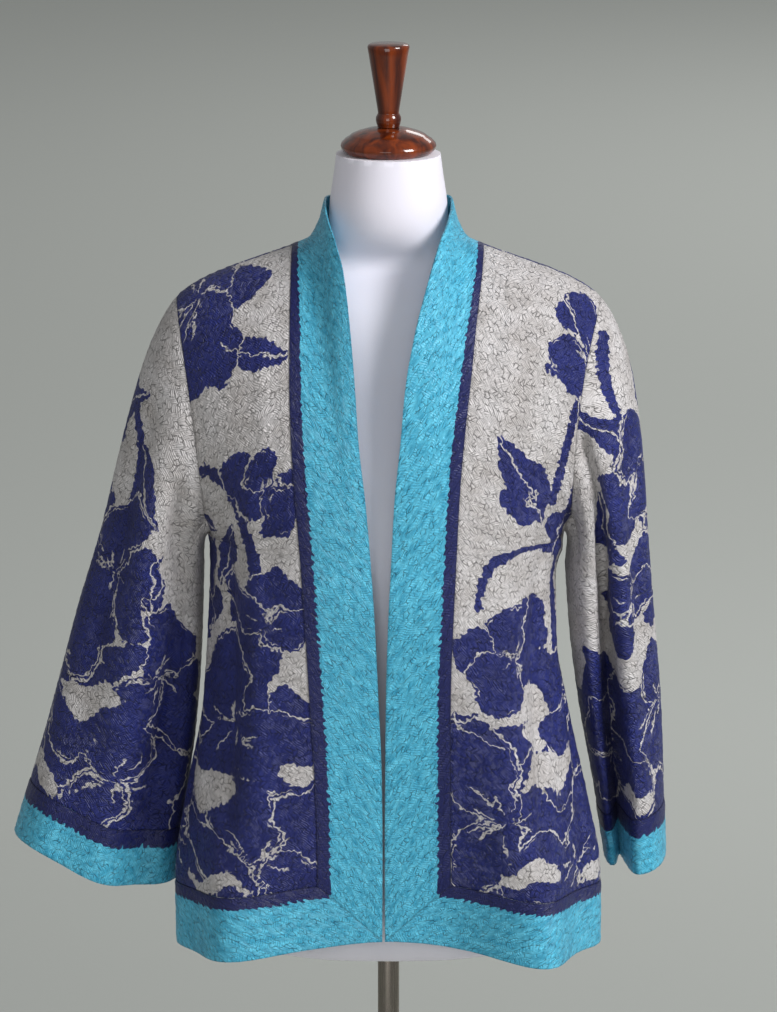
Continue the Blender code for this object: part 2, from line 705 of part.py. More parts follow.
def make_stand():
    turned("neck_cap", CAP_PROFILE, NECK_TOP_Z, WOOD_SIDES, "cherry_wood")
    turned("finial", FINIAL_PROFILE, NECK_TOP_Z, WOOD_SIDES, "cherry_wood")
    socket = POLE_RADIUS + SEAM_GAP
    base = (
        (0.0, SOCKET_DEPTH_Z),
        (socket, SOCKET_DEPTH_Z),
        (socket, SOCKET_HEIGHT),
        (SOCKET_RADIUS - 0.0015, SOCKET_HEIGHT),
        (SOCKET_RADIUS, SOCKET_HEIGHT - 0.0015),
        (SOCKET_RADIUS + 0.0005, BASE_CENTRE + 0.003),
        (SOCKET_RADIUS + 0.006, BASE_CENTRE),
        (BASE_RADIUS * 0.6, (BASE_CENTRE + BASE_RIM) / 2 + 0.0015),
        (BASE_RADIUS - 0.004, BASE_RIM),
        (BASE_RADIUS - 0.001, BASE_RIM - 0.0015),
        (BASE_RADIUS, BASE_RIM - 0.004),
        (BASE_RADIUS, 0.0008),
        (BASE_RADIUS - 0.0008, 0.0),
        (0.0, 0.0),
    )
    turned("base", base, 0.0, BASE_SIDES, "steel")
    low = SOCKET_DEPTH_Z + SEAM_GAP
    high = FORM_LEVELS["z"][0] - SEAM_GAP
    bpy.ops.mesh.primitive_cylinder_add(
        vertices=20, radius=POLE_RADIUS, depth=high - low, location=(0, 0, (low + high) / 2)
    )
    pole = bpy.context.object
    pole.name = "pole"
    pole.data.name = "pole"
    for home in list(pole.users_collection):
        home.objects.unlink(pole)
    add(pole, "steel")


def add(piece, material):
    """Links a piece to the object's collection, smooth shaded, in its material."""
    piece.data.materials.append(bpy.data.materials[material])
    piece.data.shade_smooth()
    bpy.data.collections["kimono_jacket"].objects.link(piece)


def make_materials():
    for name, (colour, roughness, metallic) in MATERIALS.items():
        material = bpy.data.materials.new(name)
        material.use_nodes = True
        shader = material.node_tree.nodes["Principled BSDF"]
        shader.inputs["Base Color"].default_value = (*colour, 1.0)
        shader.inputs["Roughness"].default_value = roughness
        shader.inputs["Metallic"].default_value = metallic


def main():
    for old in list(bpy.data.objects):
        bpy.data.objects.remove(old)
    home = bpy.data.collections.new("kimono_jacket")
    bpy.context.scene.collection.children.link(home)
    make_materials()
    make_jacket()
    make_form()
    make_stand()


main()
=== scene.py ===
# %% [markdown]
# # A kimono jacket on a dress form
# The object is an open silk jacket with wide sleeves, worn on a white form with a wooden neck cap, a steel
# pole and a round base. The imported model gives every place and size. This lesson dresses it: each cloth
# piece becomes a thin shell with creases and a printed finish, and the stand gets turned, smooth pieces.
#
# Lengths are in metres, +Z is up, and the jacket faces -Y. Its own left side is at +X.

# %% Load the fixed frame
import math

import bpy
import numpy as np
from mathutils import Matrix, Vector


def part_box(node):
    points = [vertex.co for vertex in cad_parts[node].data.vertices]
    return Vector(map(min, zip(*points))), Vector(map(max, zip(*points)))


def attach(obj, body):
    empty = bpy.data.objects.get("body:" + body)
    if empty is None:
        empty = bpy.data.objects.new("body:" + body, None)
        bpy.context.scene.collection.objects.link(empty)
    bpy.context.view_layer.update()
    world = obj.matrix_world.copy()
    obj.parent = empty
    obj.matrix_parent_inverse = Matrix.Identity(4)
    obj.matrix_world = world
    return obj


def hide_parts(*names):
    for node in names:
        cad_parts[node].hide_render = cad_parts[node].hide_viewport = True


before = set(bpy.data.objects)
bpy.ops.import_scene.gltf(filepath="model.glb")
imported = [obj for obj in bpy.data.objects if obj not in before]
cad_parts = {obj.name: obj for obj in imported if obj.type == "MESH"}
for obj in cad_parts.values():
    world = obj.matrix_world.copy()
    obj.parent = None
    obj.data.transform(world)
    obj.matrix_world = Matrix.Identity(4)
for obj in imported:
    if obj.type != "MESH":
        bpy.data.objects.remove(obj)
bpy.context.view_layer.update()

print("nodes:", sorted(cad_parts))

# %% [markdown]
# ## Small helpers
# Colours are written as hex codes and turned into linear light. One function adds a shader node with its
# settings and links, and a few short ones make the nodes that come up most. The last three select a piece
# alone, add one to the scene, and start a material.


# %% Helpers for colours, nodes and pieces
def to_linear(code):
    """A hex colour as linear red, green, blue and alpha."""
    parts = [int(code[i : i + 2], 16) / 255 for i in (1, 3, 5)]
    return tuple(p / 12.92 if p <= 0.04045 else ((p + 0.055) / 1.055) ** 2.4 for p in parts) + (1.0,)


def add_node(tree, kind, **given):
    """Adds a node. A name that the node has is a setting, any other is an input (in_0, in_1 by number), and a
    socket as the value is linked."""
    made = tree.nodes.new(kind)
    for name, value in given.items():
        if hasattr(made, name) and not name.startswith("in_"):
            setattr(made, name, value)
            continue
        socket = made.inputs[int(name[3:])] if name.startswith("in_") else made.inputs[name.replace("_", " ")]
        if isinstance(value, bpy.types.NodeSocket):
            tree.links.new(value, socket)
        else:
            socket.default_value = value
    return made


def maths(tree, operation, *values):
    """The result of a Math node on up to three values."""
    inputs = {f"in_{i}": value for i, value in enumerate(values)}
    return add_node(tree, "ShaderNodeMath", operation=operation, **inputs).outputs[0]


def vectors(tree, operation, **given):
    """The result of a Vector Math node."""
    return add_node(tree, "ShaderNodeVectorMath", operation=operation, **given).outputs[0]


def remap(tree, value, low, high, to_low=0.0, to_high=1.0):
    """A value with low to high spread over to_low to to_high, and level past them."""
    ends = {"From_Min": low, "From_Max": high, "To_Min": to_low, "To_Max": to_high}
    return add_node(tree, "ShaderNodeMapRange", Value=value, **ends).outputs[0]


def noise(tree, place, scale, detail, **more):
    made = add_node(tree, "ShaderNodeTexNoise", Vector=place, Scale=scale, Detail=detail, **more)
    return made.outputs["Fac"]


def drawn_out(tree, share, scale, detail, **more):
    """Noise drawn out along Z, because heights shrink to this share before it is read."""
    place = add_node(tree, "ShaderNodeTexCoord").outputs["Object"]
    place = add_node(tree, "ShaderNodeMapping", Vector=place, Scale=(1.0, 1.0, share)).outputs[0]
    return noise(tree, place, scale, detail, **more)


def bump(tree, shader, height, distance, strength=1.0):
    """Gives a shader relief of this height, over this distance in metres."""
    made = add_node(tree, "ShaderNodeBump", Strength=strength, Distance=distance, Height=height)
    tree.links.new(made.outputs[0], shader.inputs["Normal"])


def blend(tree, share, *ends):
    """A colour between two, each a hex code or a socket."""
    first, second = (to_linear(end) if isinstance(end, str) else end for end in ends)
    return add_node(tree, "ShaderNodeMix", data_type="RGBA", in_0=share, in_6=first, in_7=second).outputs[2]


def attribute(tree, name):
    return add_node(tree, "ShaderNodeAttribute", attribute_name=name).outputs["Fac"]


def set_inputs(node, **values):
    """Fixes inputs of a node, with _ for each space in a name."""
    for name, value in values.items():
        node.inputs[name.replace("_", " ")].default_value = value


def pick(piece):
    """Selects a piece alone, for the operators that follow."""
    bpy.ops.object.select_all(action="DESELECT")
    piece.select_set(True)
    bpy.context.view_layer.objects.active = piece


def new_piece(name, data):
    """An object of a mesh, in the scene and selected alone."""
    piece = bpy.data.objects.new(name, data)
    bpy.context.scene.collection.objects.link(piece)
    pick(piece)
    return piece


def new_material(name):
    """A material with its tree and its Principled shader."""
    material = bpy.data.materials.new(name)
    material.use_nodes = True
    return material, material.node_tree, material.node_tree.nodes["Principled BSDF"]


# %% [markdown]
# ## The camera, floor and lights
# The photograph was taken from a little above, with a long lens, so the sides hardly converge. A camera 4 m
# away that looks 14 degrees down gives the same outline. A large pale floor and four soft area lights keep
# the shadows gentle. The key light is high on the right, which brightens the jacket's left side.

# %% Camera, floor and lights
CAMERA_PITCH = 14
CAMERA_PLACE = (0, -4.0, 2.158)
CAMERA_LENS = 154.4
FLOOR_SIZE = 70
FLOOR_PLACE = (0, 15, -0.0006)
bpy.ops.object.select_all(action="DESELECT")
bpy.ops.object.camera_add(location=CAMERA_PLACE, rotation=(math.radians(90 - CAMERA_PITCH), 0, 0))
camera = bpy.context.object
camera.data.lens = CAMERA_LENS
camera.data.sensor_width = 36
camera.data.clip_end = 100
bpy.context.scene.camera = camera

# Light: name, place, turn in degrees, size and watts
LIGHTS = (
    ("key", (2.1, -1.5, 2.85), (57, 0, 54), 1.1, 90),
    ("fill", (-0.5, -3.8, 2.0), (78, 0, -8), 1.8, 28),
    ("back", (0.8, 2.6, 2.8), (-54, 0, 163), 1.8, 32),
    ("distance", (3.0, 8.5, 5.0), (0, 0, 0), 4.0, 150),
)
for name, place, turn, size, power in LIGHTS:
    bpy.ops.object.light_add(type="AREA", location=place, rotation=[math.radians(t) for t in turn])
    light = bpy.context.object
    light.name = name + "_light"
    light.data.size = size
    light.data.energy = power

world = bpy.data.worlds.new("soft_room")
world.use_nodes = True
set_inputs(world.node_tree.nodes["Background"], Color=to_linear("#E4E6E6"), Strength=0.38)
bpy.context.scene.world = world
bpy.context.scene.view_settings.view_transform = "Standard"

bpy.ops.object.select_all(action="DESELECT")
bpy.ops.mesh.primitive_plane_add(size=FLOOR_SIZE, location=FLOOR_PLACE)
floor = bpy.context.object
floor.name = "floor"
material, tree, shader = new_material("matt_pale_floor")
set_inputs(shader, Roughness=0.9, Base_Color=to_linear("#BEC1BC"))
floor.data.materials.append(material)

# %% [markdown]
# ## The garment's surface
# All the cloth lies on one smooth surface: rounded sections round the body, with a few hanging folds, that
# curve over to the shoulder line. These are the same tables as the solids', so each shell sits in its
# solid's place. A point is named by its angle from the centre front and its height above the underarm.
# numpy works out thousands of points in one call, so the cloth's grid can be as fine as 3 mm.

# %% Tables of the body
PANEL_WALL = 0.0015
BAND_WALL = 0.0022
SEAM_GAP = 0.0001
BORDER_WIDTH = 0.062
CUFF_WIDTH = 0.056
UNDERARM_Z = 1.141
UPPER_SPAN = 0.27
UPPER_ROWS = 11
SCYE_SHARE = 0.11
SCYE_ROWS = (0.025, 0.062, 0.11)
SHOULDER = {
    "x": (0.0, 0.030, 0.045, 0.0580, 0.0625, 0.0735, 0.0895, 0.125, 0.155, 0.180, 0.198, 0.230, 0.300),
    "z": (1.547, 1.517, 1.487, 1.4560, 1.4370, 1.4180, 1.4115, 1.3990, 1.3880, 1.3760, 1.3625, 1.320, 1.200),
}
LEVELS = {
    "z": (1.141, 1.101, 1.045, 0.971, 0.881, 0.811, 0.741),
    "half_left": (0.165, 0.156, 0.157, 0.170, 0.190, 0.202, 0.2025),
    "half_right": (0.168, 0.166, 0.168, 0.176, 0.194, 0.203, 0.2025),
    "front": (0.128, 0.131, 0.128, 0.124, 0.121, 0.119, 0.118),
    "back": (0.105, 0.104, 0.103, 0.106, 0.114, 0.122, 0.128),
    "side_y": (-0.002, -0.008, -0.018, -0.028, -0.040, -0.046, -0.048),
}
BODY_SQUARE = 2.35
SHOULDER_SPREAD = 0.6
FOLD_GROWTH = 1.25
# Hanging folds: angle, the way it points, width in degrees, top, and how far it stands out at the hem
FOLDS = (
    (36, 24, 14, 1.14, 0.052),
    (-38, -36, 15, 1.12, 0.034),
    (17, 10, 9, 0.96, -0.004),
    (108, 105, 14, 1.02, -0.008),
    (-108, -105, 14, 1.02, -0.008),
    (146, 150, 13, 1.13, 0.028),
    (-150, -155, 13, 1.13, 0.030),
    (180, 180, 11, 1.10, -0.006),
)
EDGE_Z = (0.741, 0.860, 0.932, 1.006, 1.080, 1.137, 1.193, 1.249, 1.302, 1.353, 1.402, 1.426, 1.456)
# Distances of the open edge and of the band's seam from the centre at these heights, by side
OPENING_X = {
    1: (
        -0.0034, -0.0036, -0.0032, -0.0025, -0.0005, 0.0023, 0.0051, 0.0106, 0.0153, 0.0246, 0.038, 0.046,
        0.058,
    ),
    -1: (0.0058, 0.0055, 0.0062, 0.0092, 0.0125, 0.0162, 0.0208, 0.027, 0.0305, 0.0348, 0.041, 0.048, 0.058),
}
SEAM_X = {
    1: (0.0595, 0.0588, 0.0583, 0.0580, 0.0600, 0.0625, 0.065, 0.0695, 0.0755, 0.081, 0.0875, 0.0895, 0.0895),
    -1: (0.0670, 0.0672, 0.0695, 0.0735, 0.0776, 0.0813, 0.0857, 0.0895, 0.091, 0.0908, 0.09, 0.0895, 0.0895),
}
# The neckline's half width and depth, at the band's seam and at its free edge
NECK_SEAM = (0.0895, 0.084)
NECK_EDGE = (0.0580, 0.070)
# Angles, in radians, that stand for the seam's and the open edge's place along the front's hem
SEAM_AT = 0.35
EDGE_AT = 0.01
# The armhole's distance from the centre at the underarm, how much farther out it ends, and the shoulder's tip
ARMHOLE_X = 0.1715
ARMHOLE_LEAN = 0.0265
SHOULDER_TIP_X = 0.198
HEM_ANGLE = (0, 20, 36, 60, 90, 135, 180)
HEM_Z = (0.766, 0.759, 0.751, 0.746, 0.744, 0.747, 0.749)
ARMHOLE_POWER = {1: 2.8, -1: 1.5}


# %% Points of the body
def smooth(keys, values, at):
    """Values at keys, smoothly joined, and level past the ends."""
    keys, values = np.array(keys, float), np.array(values, float)
    if keys[0] > keys[-1]:
        keys, values = keys[::-1], values[::-1]
    steps = np.diff(values) / np.diff(keys)
    before, after = steps[:-1], steps[1:]
    slope = np.zeros(len(keys))
    bends = before * after > 0
    slope[1:-1][bends] = (2 * before * after)[bends] / (before + after)[bends]
    at = np.clip(at, keys[0], keys[-1])
    i = np.clip(np.searchsorted(keys, at) - 1, 0, len(keys) - 2)
    span = keys[i + 1] - keys[i]
    t = (at - keys[i]) / span
    start = (1 + 2 * t) * (1 - t) ** 2 * values[i] + t * (1 - t) ** 2 * span * slope[i]
    return start + t * t * (3 - 2 * t) * values[i + 1] + t * t * (t - 1) * span * slope[i + 1]


def wrap(angle):
    """An angle between half a turn back and half a turn on."""
    return (angle + math.pi) % (2 * math.pi) - math.pi


def rounded(angle, square):
    """Radius of a rounded square of half width 1."""
    return (np.abs(np.sin(angle)) ** square + np.abs(np.cos(angle)) ** square) ** (-1 / square)


def section(angle, z):
    """X and Y of the body at a height."""
    left, right = (smooth(LEVELS["z"], LEVELS[key], z) for key in ("half_left", "half_right"))
    half = np.where(wrap(angle) >= 0, left, right)
    side_y = smooth(LEVELS["z"], LEVELS["side_y"], z)
    r = rounded(angle, BODY_SQUARE)
    c = np.cos(angle)
    ahead = smooth(LEVELS["z"], LEVELS["front"], z) + side_y
    behind = smooth(LEVELS["z"], LEVELS["back"], z) - side_y
    x = half * r * np.sin(angle)
    y = side_y - np.where(c >= 0, ahead, behind) * r * c
    for at, points, spread, top_z, stands in FOLDS:
        grown = np.clip((top_z - z) / (top_z - LEVELS["z"][-1]), 0, None) ** FOLD_GROWTH
        away = np.degrees(wrap(angle - math.radians(at))) / spread
        push = stands * grown * np.exp(-away * away)
        x = x + push * math.sin(math.radians(points))
        y = y - push * math.cos(math.radians(points))
    return x, y


def body(angle, h):
    """Points of the body: h is metres below the underarm where negative, and above it runs to UPPER_SPAN,
    where the surface has curved over to the shoulder line."""
    angle, h = np.broadcast_arrays(np.array(angle, float), np.array(h, float))
    z = UNDERARM_Z + np.minimum(h, 0)
    x, y = section(angle, z)
    over = np.clip(h, 0, None) / UPPER_SPAN * math.pi / 2
    top = smooth(SHOULDER["x"], SHOULDER["z"], np.abs(x * (1 + SHOULDER_SPREAD)))
    wide = x * (1 + SHOULDER_SPREAD * np.sin(over) ** 1.3)
    high = UNDERARM_Z + (top - UNDERARM_Z) * np.sin(over)
    above = h > 0
    return np.stack((np.where(above, wide, x), y * np.cos(over), np.where(above, high, z)), axis=-1)


def unit(v):
    return v / np.linalg.norm(v, axis=-1, keepdims=True)


# Half steps, in radians and metres, over which a direction on the body is measured
ANGLE_STEP = 0.004
H_STEP = 0.0008


def body_normal(angle, h):
    """Outward directions of the body, level from front to back on the shoulder line."""
    flat = np.minimum(h, UPPER_SPAN - 2 * H_STEP)
    along = body(angle + ANGLE_STEP, flat) - body(angle - ANGLE_STEP, flat)
    up = body(angle, flat + H_STEP) - body(angle, flat - H_STEP)
    n = unit(np.cross(along, up))
    n[..., 1] = np.where(h >= UPPER_SPAN - 1e-6, 0.0, n[..., 1])
    return unit(n)


def on_body(angle, h):
    """Points of the body and their outward directions."""
    return body(angle, h), body_normal(angle, h)


def bisect(test, low, high):
    """The places between low and high where test turns true."""
    for _ in range(40):
        middle = (low + high) / 2
        past = test(middle)
        low, high = np.where(past, low, middle), np.where(past, middle, high)
    return (low + high) / 2


def angle_at_x(h, wanted, side):
    """Angles of the front's points at heights h whose distance from the centre is wanted(z)."""
    h = np.array(h, float)

    def past(a):
        p = body(side * a, h)
        return side * p[..., 0] > wanted(p[..., 2])

    return bisect(past, np.full(h.shape, -0.2), np.full(h.shape, math.pi / 2))


def seam_angle(h, side):
    return angle_at_x(h, lambda z: smooth(EDGE_Z, SEAM_X[side], z), side)


def opening_angle(h, side):
    return angle_at_x(h, lambda z: smooth(EDGE_Z, OPENING_X[side], z), side)


def armhole_angle(h, side):
    """Angles of the armhole's edge, rounded into the side seam at the underarm."""
    tip = smooth(SHOULDER["x"], SHOULDER["z"], SHOULDER_TIP_X)

    def wanted(z):
        climbed = np.clip((z - UNDERARM_Z) / (tip - UNDERARM_Z), 0, None)
        return ARMHOLE_X + ARMHOLE_LEAN * climbed ** ARMHOLE_POWER[side]

    edge = angle_at_x(np.maximum(h, SCYE_SHARE * UPPER_SPAN), wanted, side)
    left = np.clip(1 - h / UPPER_SPAN / SCYE_SHARE, 0, 1)
    return edge + (math.pi / 2 - edge) * (1 - np.sqrt(1 - left * left))


def hem_height(angle):
    return smooth(HEM_ANGLE, HEM_Z, np.degrees(np.abs(wrap(angle))))


def lower_h(angle, share):
    """Heights this share of the way from the underarm down to the hem border's seam."""
    return share * (hem_height(angle) + BORDER_WIDTH - UNDERARM_Z)


# %% [markdown]
# ## Grids of the cloth pieces
# Each cloth piece is a grid of points: the rows of a front run from the hem's seam up to the shoulder. Two
# pieces that are sewn together use the same points along their seam, so the seam stays closed. The rows
# crowd together round the underarm, where the armhole's edge turns sharply.

# %% Rows and columns
LOWER = np.linspace(1, 0, 111)
ACROSS = np.linspace(0, 1, 65)
NECK_TURNS = np.radians(np.linspace(90, 180, 31)[1:])
ROUND_SCYE = np.arccos(1 - np.array((0.0,) + SCYE_ROWS) / SCYE_SHARE)
STEPS_EACH = (7, 4, 4) + (11,) * (UPPER_ROWS - 3)
CLIMB_INDEX = np.concatenate([[0]] + [np.linspace(i, i + 1, n + 1)[1:] for i, n in enumerate(STEPS_EACH)])
CLIMB = np.where(
    CLIMB_INDEX <= 3,
    SCYE_SHARE * (1 - np.cos(np.interp(CLIMB_INDEX, range(4), ROUND_SCYE))),
    np.interp(CLIMB_INDEX, (3, UPPER_ROWS), (SCYE_SHARE, 1.0)),
)
CLIMB = CLIMB * UPPER_SPAN
BORDER = np.linspace(0, 1, 22)
CAP = np.linspace(0, 1, 43)
TUBE_COUNT = 96
CUFF_COUNT = 19


def front_grid(side):
    """Angles and heights of a front: rows from the hem's seam up, columns from the band to the side."""
    start = seam_angle(lower_h(SEAM_AT, LOWER), side)[:, None]
    low_angle = start + (math.pi / 2 - start) * ACROSS
    low_h = lower_h(low_angle, LOWER[:, None])
    rise = CLIMB[1:]
    start, end = seam_angle(rise, side)[:, None], armhole_angle(rise, side)[:, None]
    high_angle = start + (end - start) * ACROSS
    high_h = np.broadcast_to(rise[:, None], high_angle.shape)
    return side * np.concatenate((low_angle, high_angle)), np.concatenate((low_h, high_h))


def find_back(x_wanted, y_wanted, side):
    """Angles and heights of the back's points with these X and Y, above the underarm."""
    flat, quarter = np.zeros(x_wanted.shape), np.full(x_wanted.shape, math.pi / 2)

    def angle_for(h):
        a = bisect(lambda a: np.abs(body(side * (math.pi - a), h)[..., 0]) > x_wanted, flat, quarter)
        return math.pi - a

    h = bisect(lambda t: body(side * angle_for(t), t)[..., 1] < y_wanted, flat, flat + UPPER_SPAN)
    return side * angle_for(h), h


def on_neckline(half, deep, side):
    return find_back(np.maximum(half * np.sin(NECK_TURNS), 1e-5), -deep * np.cos(NECK_TURNS), side)


def back_grid():
    """Angles and heights of the back: rows from the hem's seam up, columns from +X to -X."""
    halves = []
    for side in (1, -1):
        neck = math.pi - seam_angle(np.array([UPPER_SPAN]), side)[0]
        top_angle, top_h = on_neckline(*NECK_SEAM, side)
        starts = np.concatenate((np.full(len(LOWER), math.pi / 2), math.pi - armhole_angle(CLIMB[1:], side)))
        angle = starts[:, None] + (neck - starts[:, None]) * ACROSS
        round_neck = np.broadcast_to(np.abs(top_angle), (len(angle), len(top_angle)))
        angle = np.concatenate((angle, round_neck), axis=1)
        share = np.concatenate((np.ones(len(ACROSS)), top_h / UPPER_SPAN))
        low_h = lower_h(angle[: len(LOWER)], LOWER[:, None])
        h = np.concatenate((low_h, CLIMB[1:, None] * share))
        halves.append((side * angle, h))
    return tuple(np.concatenate((a, b[:, -2::-1]), axis=1) for a, b in zip(*halves))


def band_grid(side):
    """Angles and heights of the front band: rows from the mitre up and round the neck, columns from the
    seam to the open edge."""
    corner_h = hem_height(EDGE_AT) - UNDERARM_Z
    seam = seam_angle(lower_h(SEAM_AT, LOWER), side)
    edge_h = lower_h(EDGE_AT, LOWER) + (corner_h - lower_h(EDGE_AT, 1)) * LOWER**5
    rise = CLIMB[1:]
    low_neck, high_neck = on_neckline(*NECK_SEAM, side), on_neckline(*NECK_EDGE, side)
    seam_a = np.concatenate((side * seam, side * seam_angle(rise, side), low_neck[0]))
    seam_h = np.concatenate((lower_h(seam, LOWER), rise, low_neck[1]))
    low_edge, high_edge = opening_angle(edge_h, side), opening_angle(rise, side)
    edge_a = np.concatenate((side * low_edge, side * high_edge, high_neck[0]))
    edge_h = np.concatenate((edge_h, rise, high_neck[1]))
    angle = seam_a[:, None] + (edge_a - seam_a)[:, None] * BORDER
    return angle, seam_h[:, None] + (edge_h - seam_h)[:, None] * BORDER


def hem_grid(angle, h, side=None):
    """Angles and heights of a hem border under a panel's lowest row: rows from the hem up to the seam."""
    low = angle.copy()
    if side:
        corner_h = hem_height(EDGE_AT) - UNDERARM_Z
        corner = side * opening_angle(corner_h, side)
        low = corner + (angle[-1] - corner) * (angle - angle[0]) / (angle[-1] - angle[0])
    low_h = hem_height(low) - UNDERARM_Z
    up = BORDER[:, None]
    return low + (angle - low) * up, low_h + (h - low_h) * up


# %% Tables and rings of the sleeves
SLEEVE_SQUARE = 2.2
# The slope at which a sleeve leaves the armhole's top, middle and low end, in degrees, and how far it holds
CAP_SLOPE = (52, 58, 18)
CAP_PULL = 0.88
SLEEVES = {
    "left": {
        "side": 1,
        "z": (1.112, 1.050, 0.971, 0.881, 0.806),
        "inner": (0.1700, 0.1745, 0.1845, 0.2005, 0.2125),
        "outer": (0.2450, 0.2510, 0.2590, 0.2650, 0.2685),
        "front": (-0.060, -0.054, -0.046, -0.040, -0.034),
        "back": (0.068, 0.076, 0.084, 0.092, 0.098),
        "rise": (0.012, 0.008, 0.006, 0.004, 0.003),
        "dip": (0.000, 0.001, 0.002, 0.002, 0.002),
        "turn": (0, 0, 0, 0, 0),
        "folds": (
            ((98, 100, 104, 112, 120), 15, (0.018, 0.040, 0.050, 0.056, 0.060)),
            ((250, 250, 250, 250, 250), 20, (0.004, 0.010, 0.014, 0.016, 0.018)),
        ),
    },
    "right": {
        "side": -1,
        "z": (1.116, 1.045, 0.971, 0.900, 0.8145),
        "inner": (0.1770, 0.1800, 0.1860, 0.1960, 0.2070),
        "outer": (0.2720, 0.2930, 0.3135, 0.3340, 0.3600),
        "front": (-0.062, -0.062, -0.060, -0.058, -0.060),
        "back": (0.062, 0.066, 0.068, 0.066, 0.062),
        "rise": (0.014, 0.018, 0.020, 0.022, 0.0245),
        "dip": (0.000, 0.003, 0.006, 0.010, 0.014),
        "turn": (2, 6, 9, 12, 14),
        "folds": (
            ((118, 116, 114, 112, 110), 17, (0.010, 0.014, 0.014, 0.013, 0.012)),
            ((60, 60, 60, 60, 60), 16, (0.001, 0.003, 0.005, 0.006, 0.007)),
            ((250, 250, 250, 250, 250), 20, (0.004, 0.008, 0.012, 0.014, 0.016)),
        ),
    },
}


def sleeve_ring(spec, share, angle):
    """Points of a sleeve's tube. share runs from the armpit (0) to the cuff's edge (1), and the angle from
    the outer side (0) over the front (90 degrees) and the body side (180) to the back (270)."""
    share, angle = np.broadcast_arrays(np.array(share, float), np.array(angle, float))

    def value(numbers):
        return smooth(range(len(numbers)), numbers, share * (len(numbers) - 1))

    inner, outer, front, back = (value(spec[key]) for key in ("inner", "outer", "front", "back"))
    half, deep = (outer - inner) / 2, (back - front) / 2
    r = rounded(angle, SLEEVE_SQUARE)
    s, c = np.sin(angle), np.cos(angle)
    u, v = half * r * c, -deep * r * s
    for at, spread, depth in spec["folds"]:
        away = np.degrees(wrap(angle - np.radians(value(at)))) / spread
        v = v + value(depth) * np.exp(-away * away) * np.copysign(np.minimum(np.abs(s) * 3, 1), s)
    turn = np.radians(value(spec["turn"]))
    x = u * np.cos(turn) + v * np.sin(turn)
    y = v * np.cos(turn) - u * np.sin(turn)
    z = value(spec["z"]) + value(spec["rise"]) * u / half - value(spec["dip"]) * s**4
    return np.stack((spec["side"] * ((inner + outer) / 2 + x), (front + back) / 2 + y, z), axis=-1)


def armhole_loop(side):
    """Angles, heights and turns round the armhole: from the shoulder down the front, and up the back."""
    front = side * armhole_angle(CLIMB[:0:-1], side)
    back = side * (math.pi - armhole_angle(CLIMB[1:-1], side))
    angles = np.concatenate((front, [side * math.pi / 2], back))
    heights = np.concatenate((CLIMB[:0:-1], [0.0], CLIMB[1:-1]))
    turns = np.concatenate((UPPER_ROWS - CLIMB_INDEX[:0:-1], [UPPER_ROWS], UPPER_ROWS + CLIMB_INDEX[1:-1]))
    return angles, heights, turns * math.pi / UPPER_ROWS


def sleeve_points(spec):
    """Rows of a sleeve and its cuff from the armhole down, and the row of the seam between them."""
    side = spec["side"]
    angles, heights, turns = armhole_loop(side)
    start = body(angles, heights)
    low = sleeve_ring(spec, 0.0, turns)
    along = unit(sleeve_ring(spec, 0.05, turns) - low)
    slope = np.radians(np.interp((1 - np.cos(turns)) / 2, (0, 0.5, 1), CAP_SLOPE))
    leave = np.stack((side * np.cos(slope), np.zeros(len(slope)), -np.sin(slope)), axis=-1)
    pull = CAP_PULL * np.linalg.norm(low - start, axis=-1, keepdims=True)
    t = CAP[:, None, None]
    cap = (1 + 2 * t) * (1 - t) ** 2 * start + t * (1 - t) ** 2 * pull * leave
    cap = cap + t * t * (3 - 2 * t) * low + t * t * (t - 1) * pull * along
    edge = sleeve_ring(spec, 1.0, math.pi / 2)

    def on_cuff(share):
        return np.linalg.norm(edge - sleeve_ring(spec, share, math.pi / 2)) < CUFF_WIDTH

    seam = bisect(on_cuff, np.array(0.0), np.array(1.0))
    to_seam, to_edge = np.linspace(0, seam, TUBE_COUNT + 1), np.linspace(seam, 1, CUFF_COUNT + 1)
    shares = np.concatenate((to_seam[1:], to_edge[1:]))
    tube = sleeve_ring(spec, shares[:, None], turns[None, :])
    return np.concatenate((cap, tube)), len(CAP) + TUBE_COUNT - 1


def tube_normals(points, side):
    down = np.gradient(points, axis=0)
    around = np.roll(points, -1, axis=1) - np.roll(points, 1, axis=1)
    return unit(np.cross(around, down) * side)


print("rows above the underarm:", len(CLIMB), "columns of a front:", len(ACROSS))

# %% [markdown]
# ## Creases and puckers
# The main creases are placed in the cloth's own flat measure: across from a seam and up from the
# hem. Each is a soft trough or ridge along a curved line, and it fades out before the seams. The silk is
# also crinkled all over. A slight ripple in the mesh, about 10 mm from crest to crest, roughens the outline
# and the edges, and the material's bump does the rest.

# %% Creases
CREASE_FADE = 0.016
RIPPLE = 0.00022
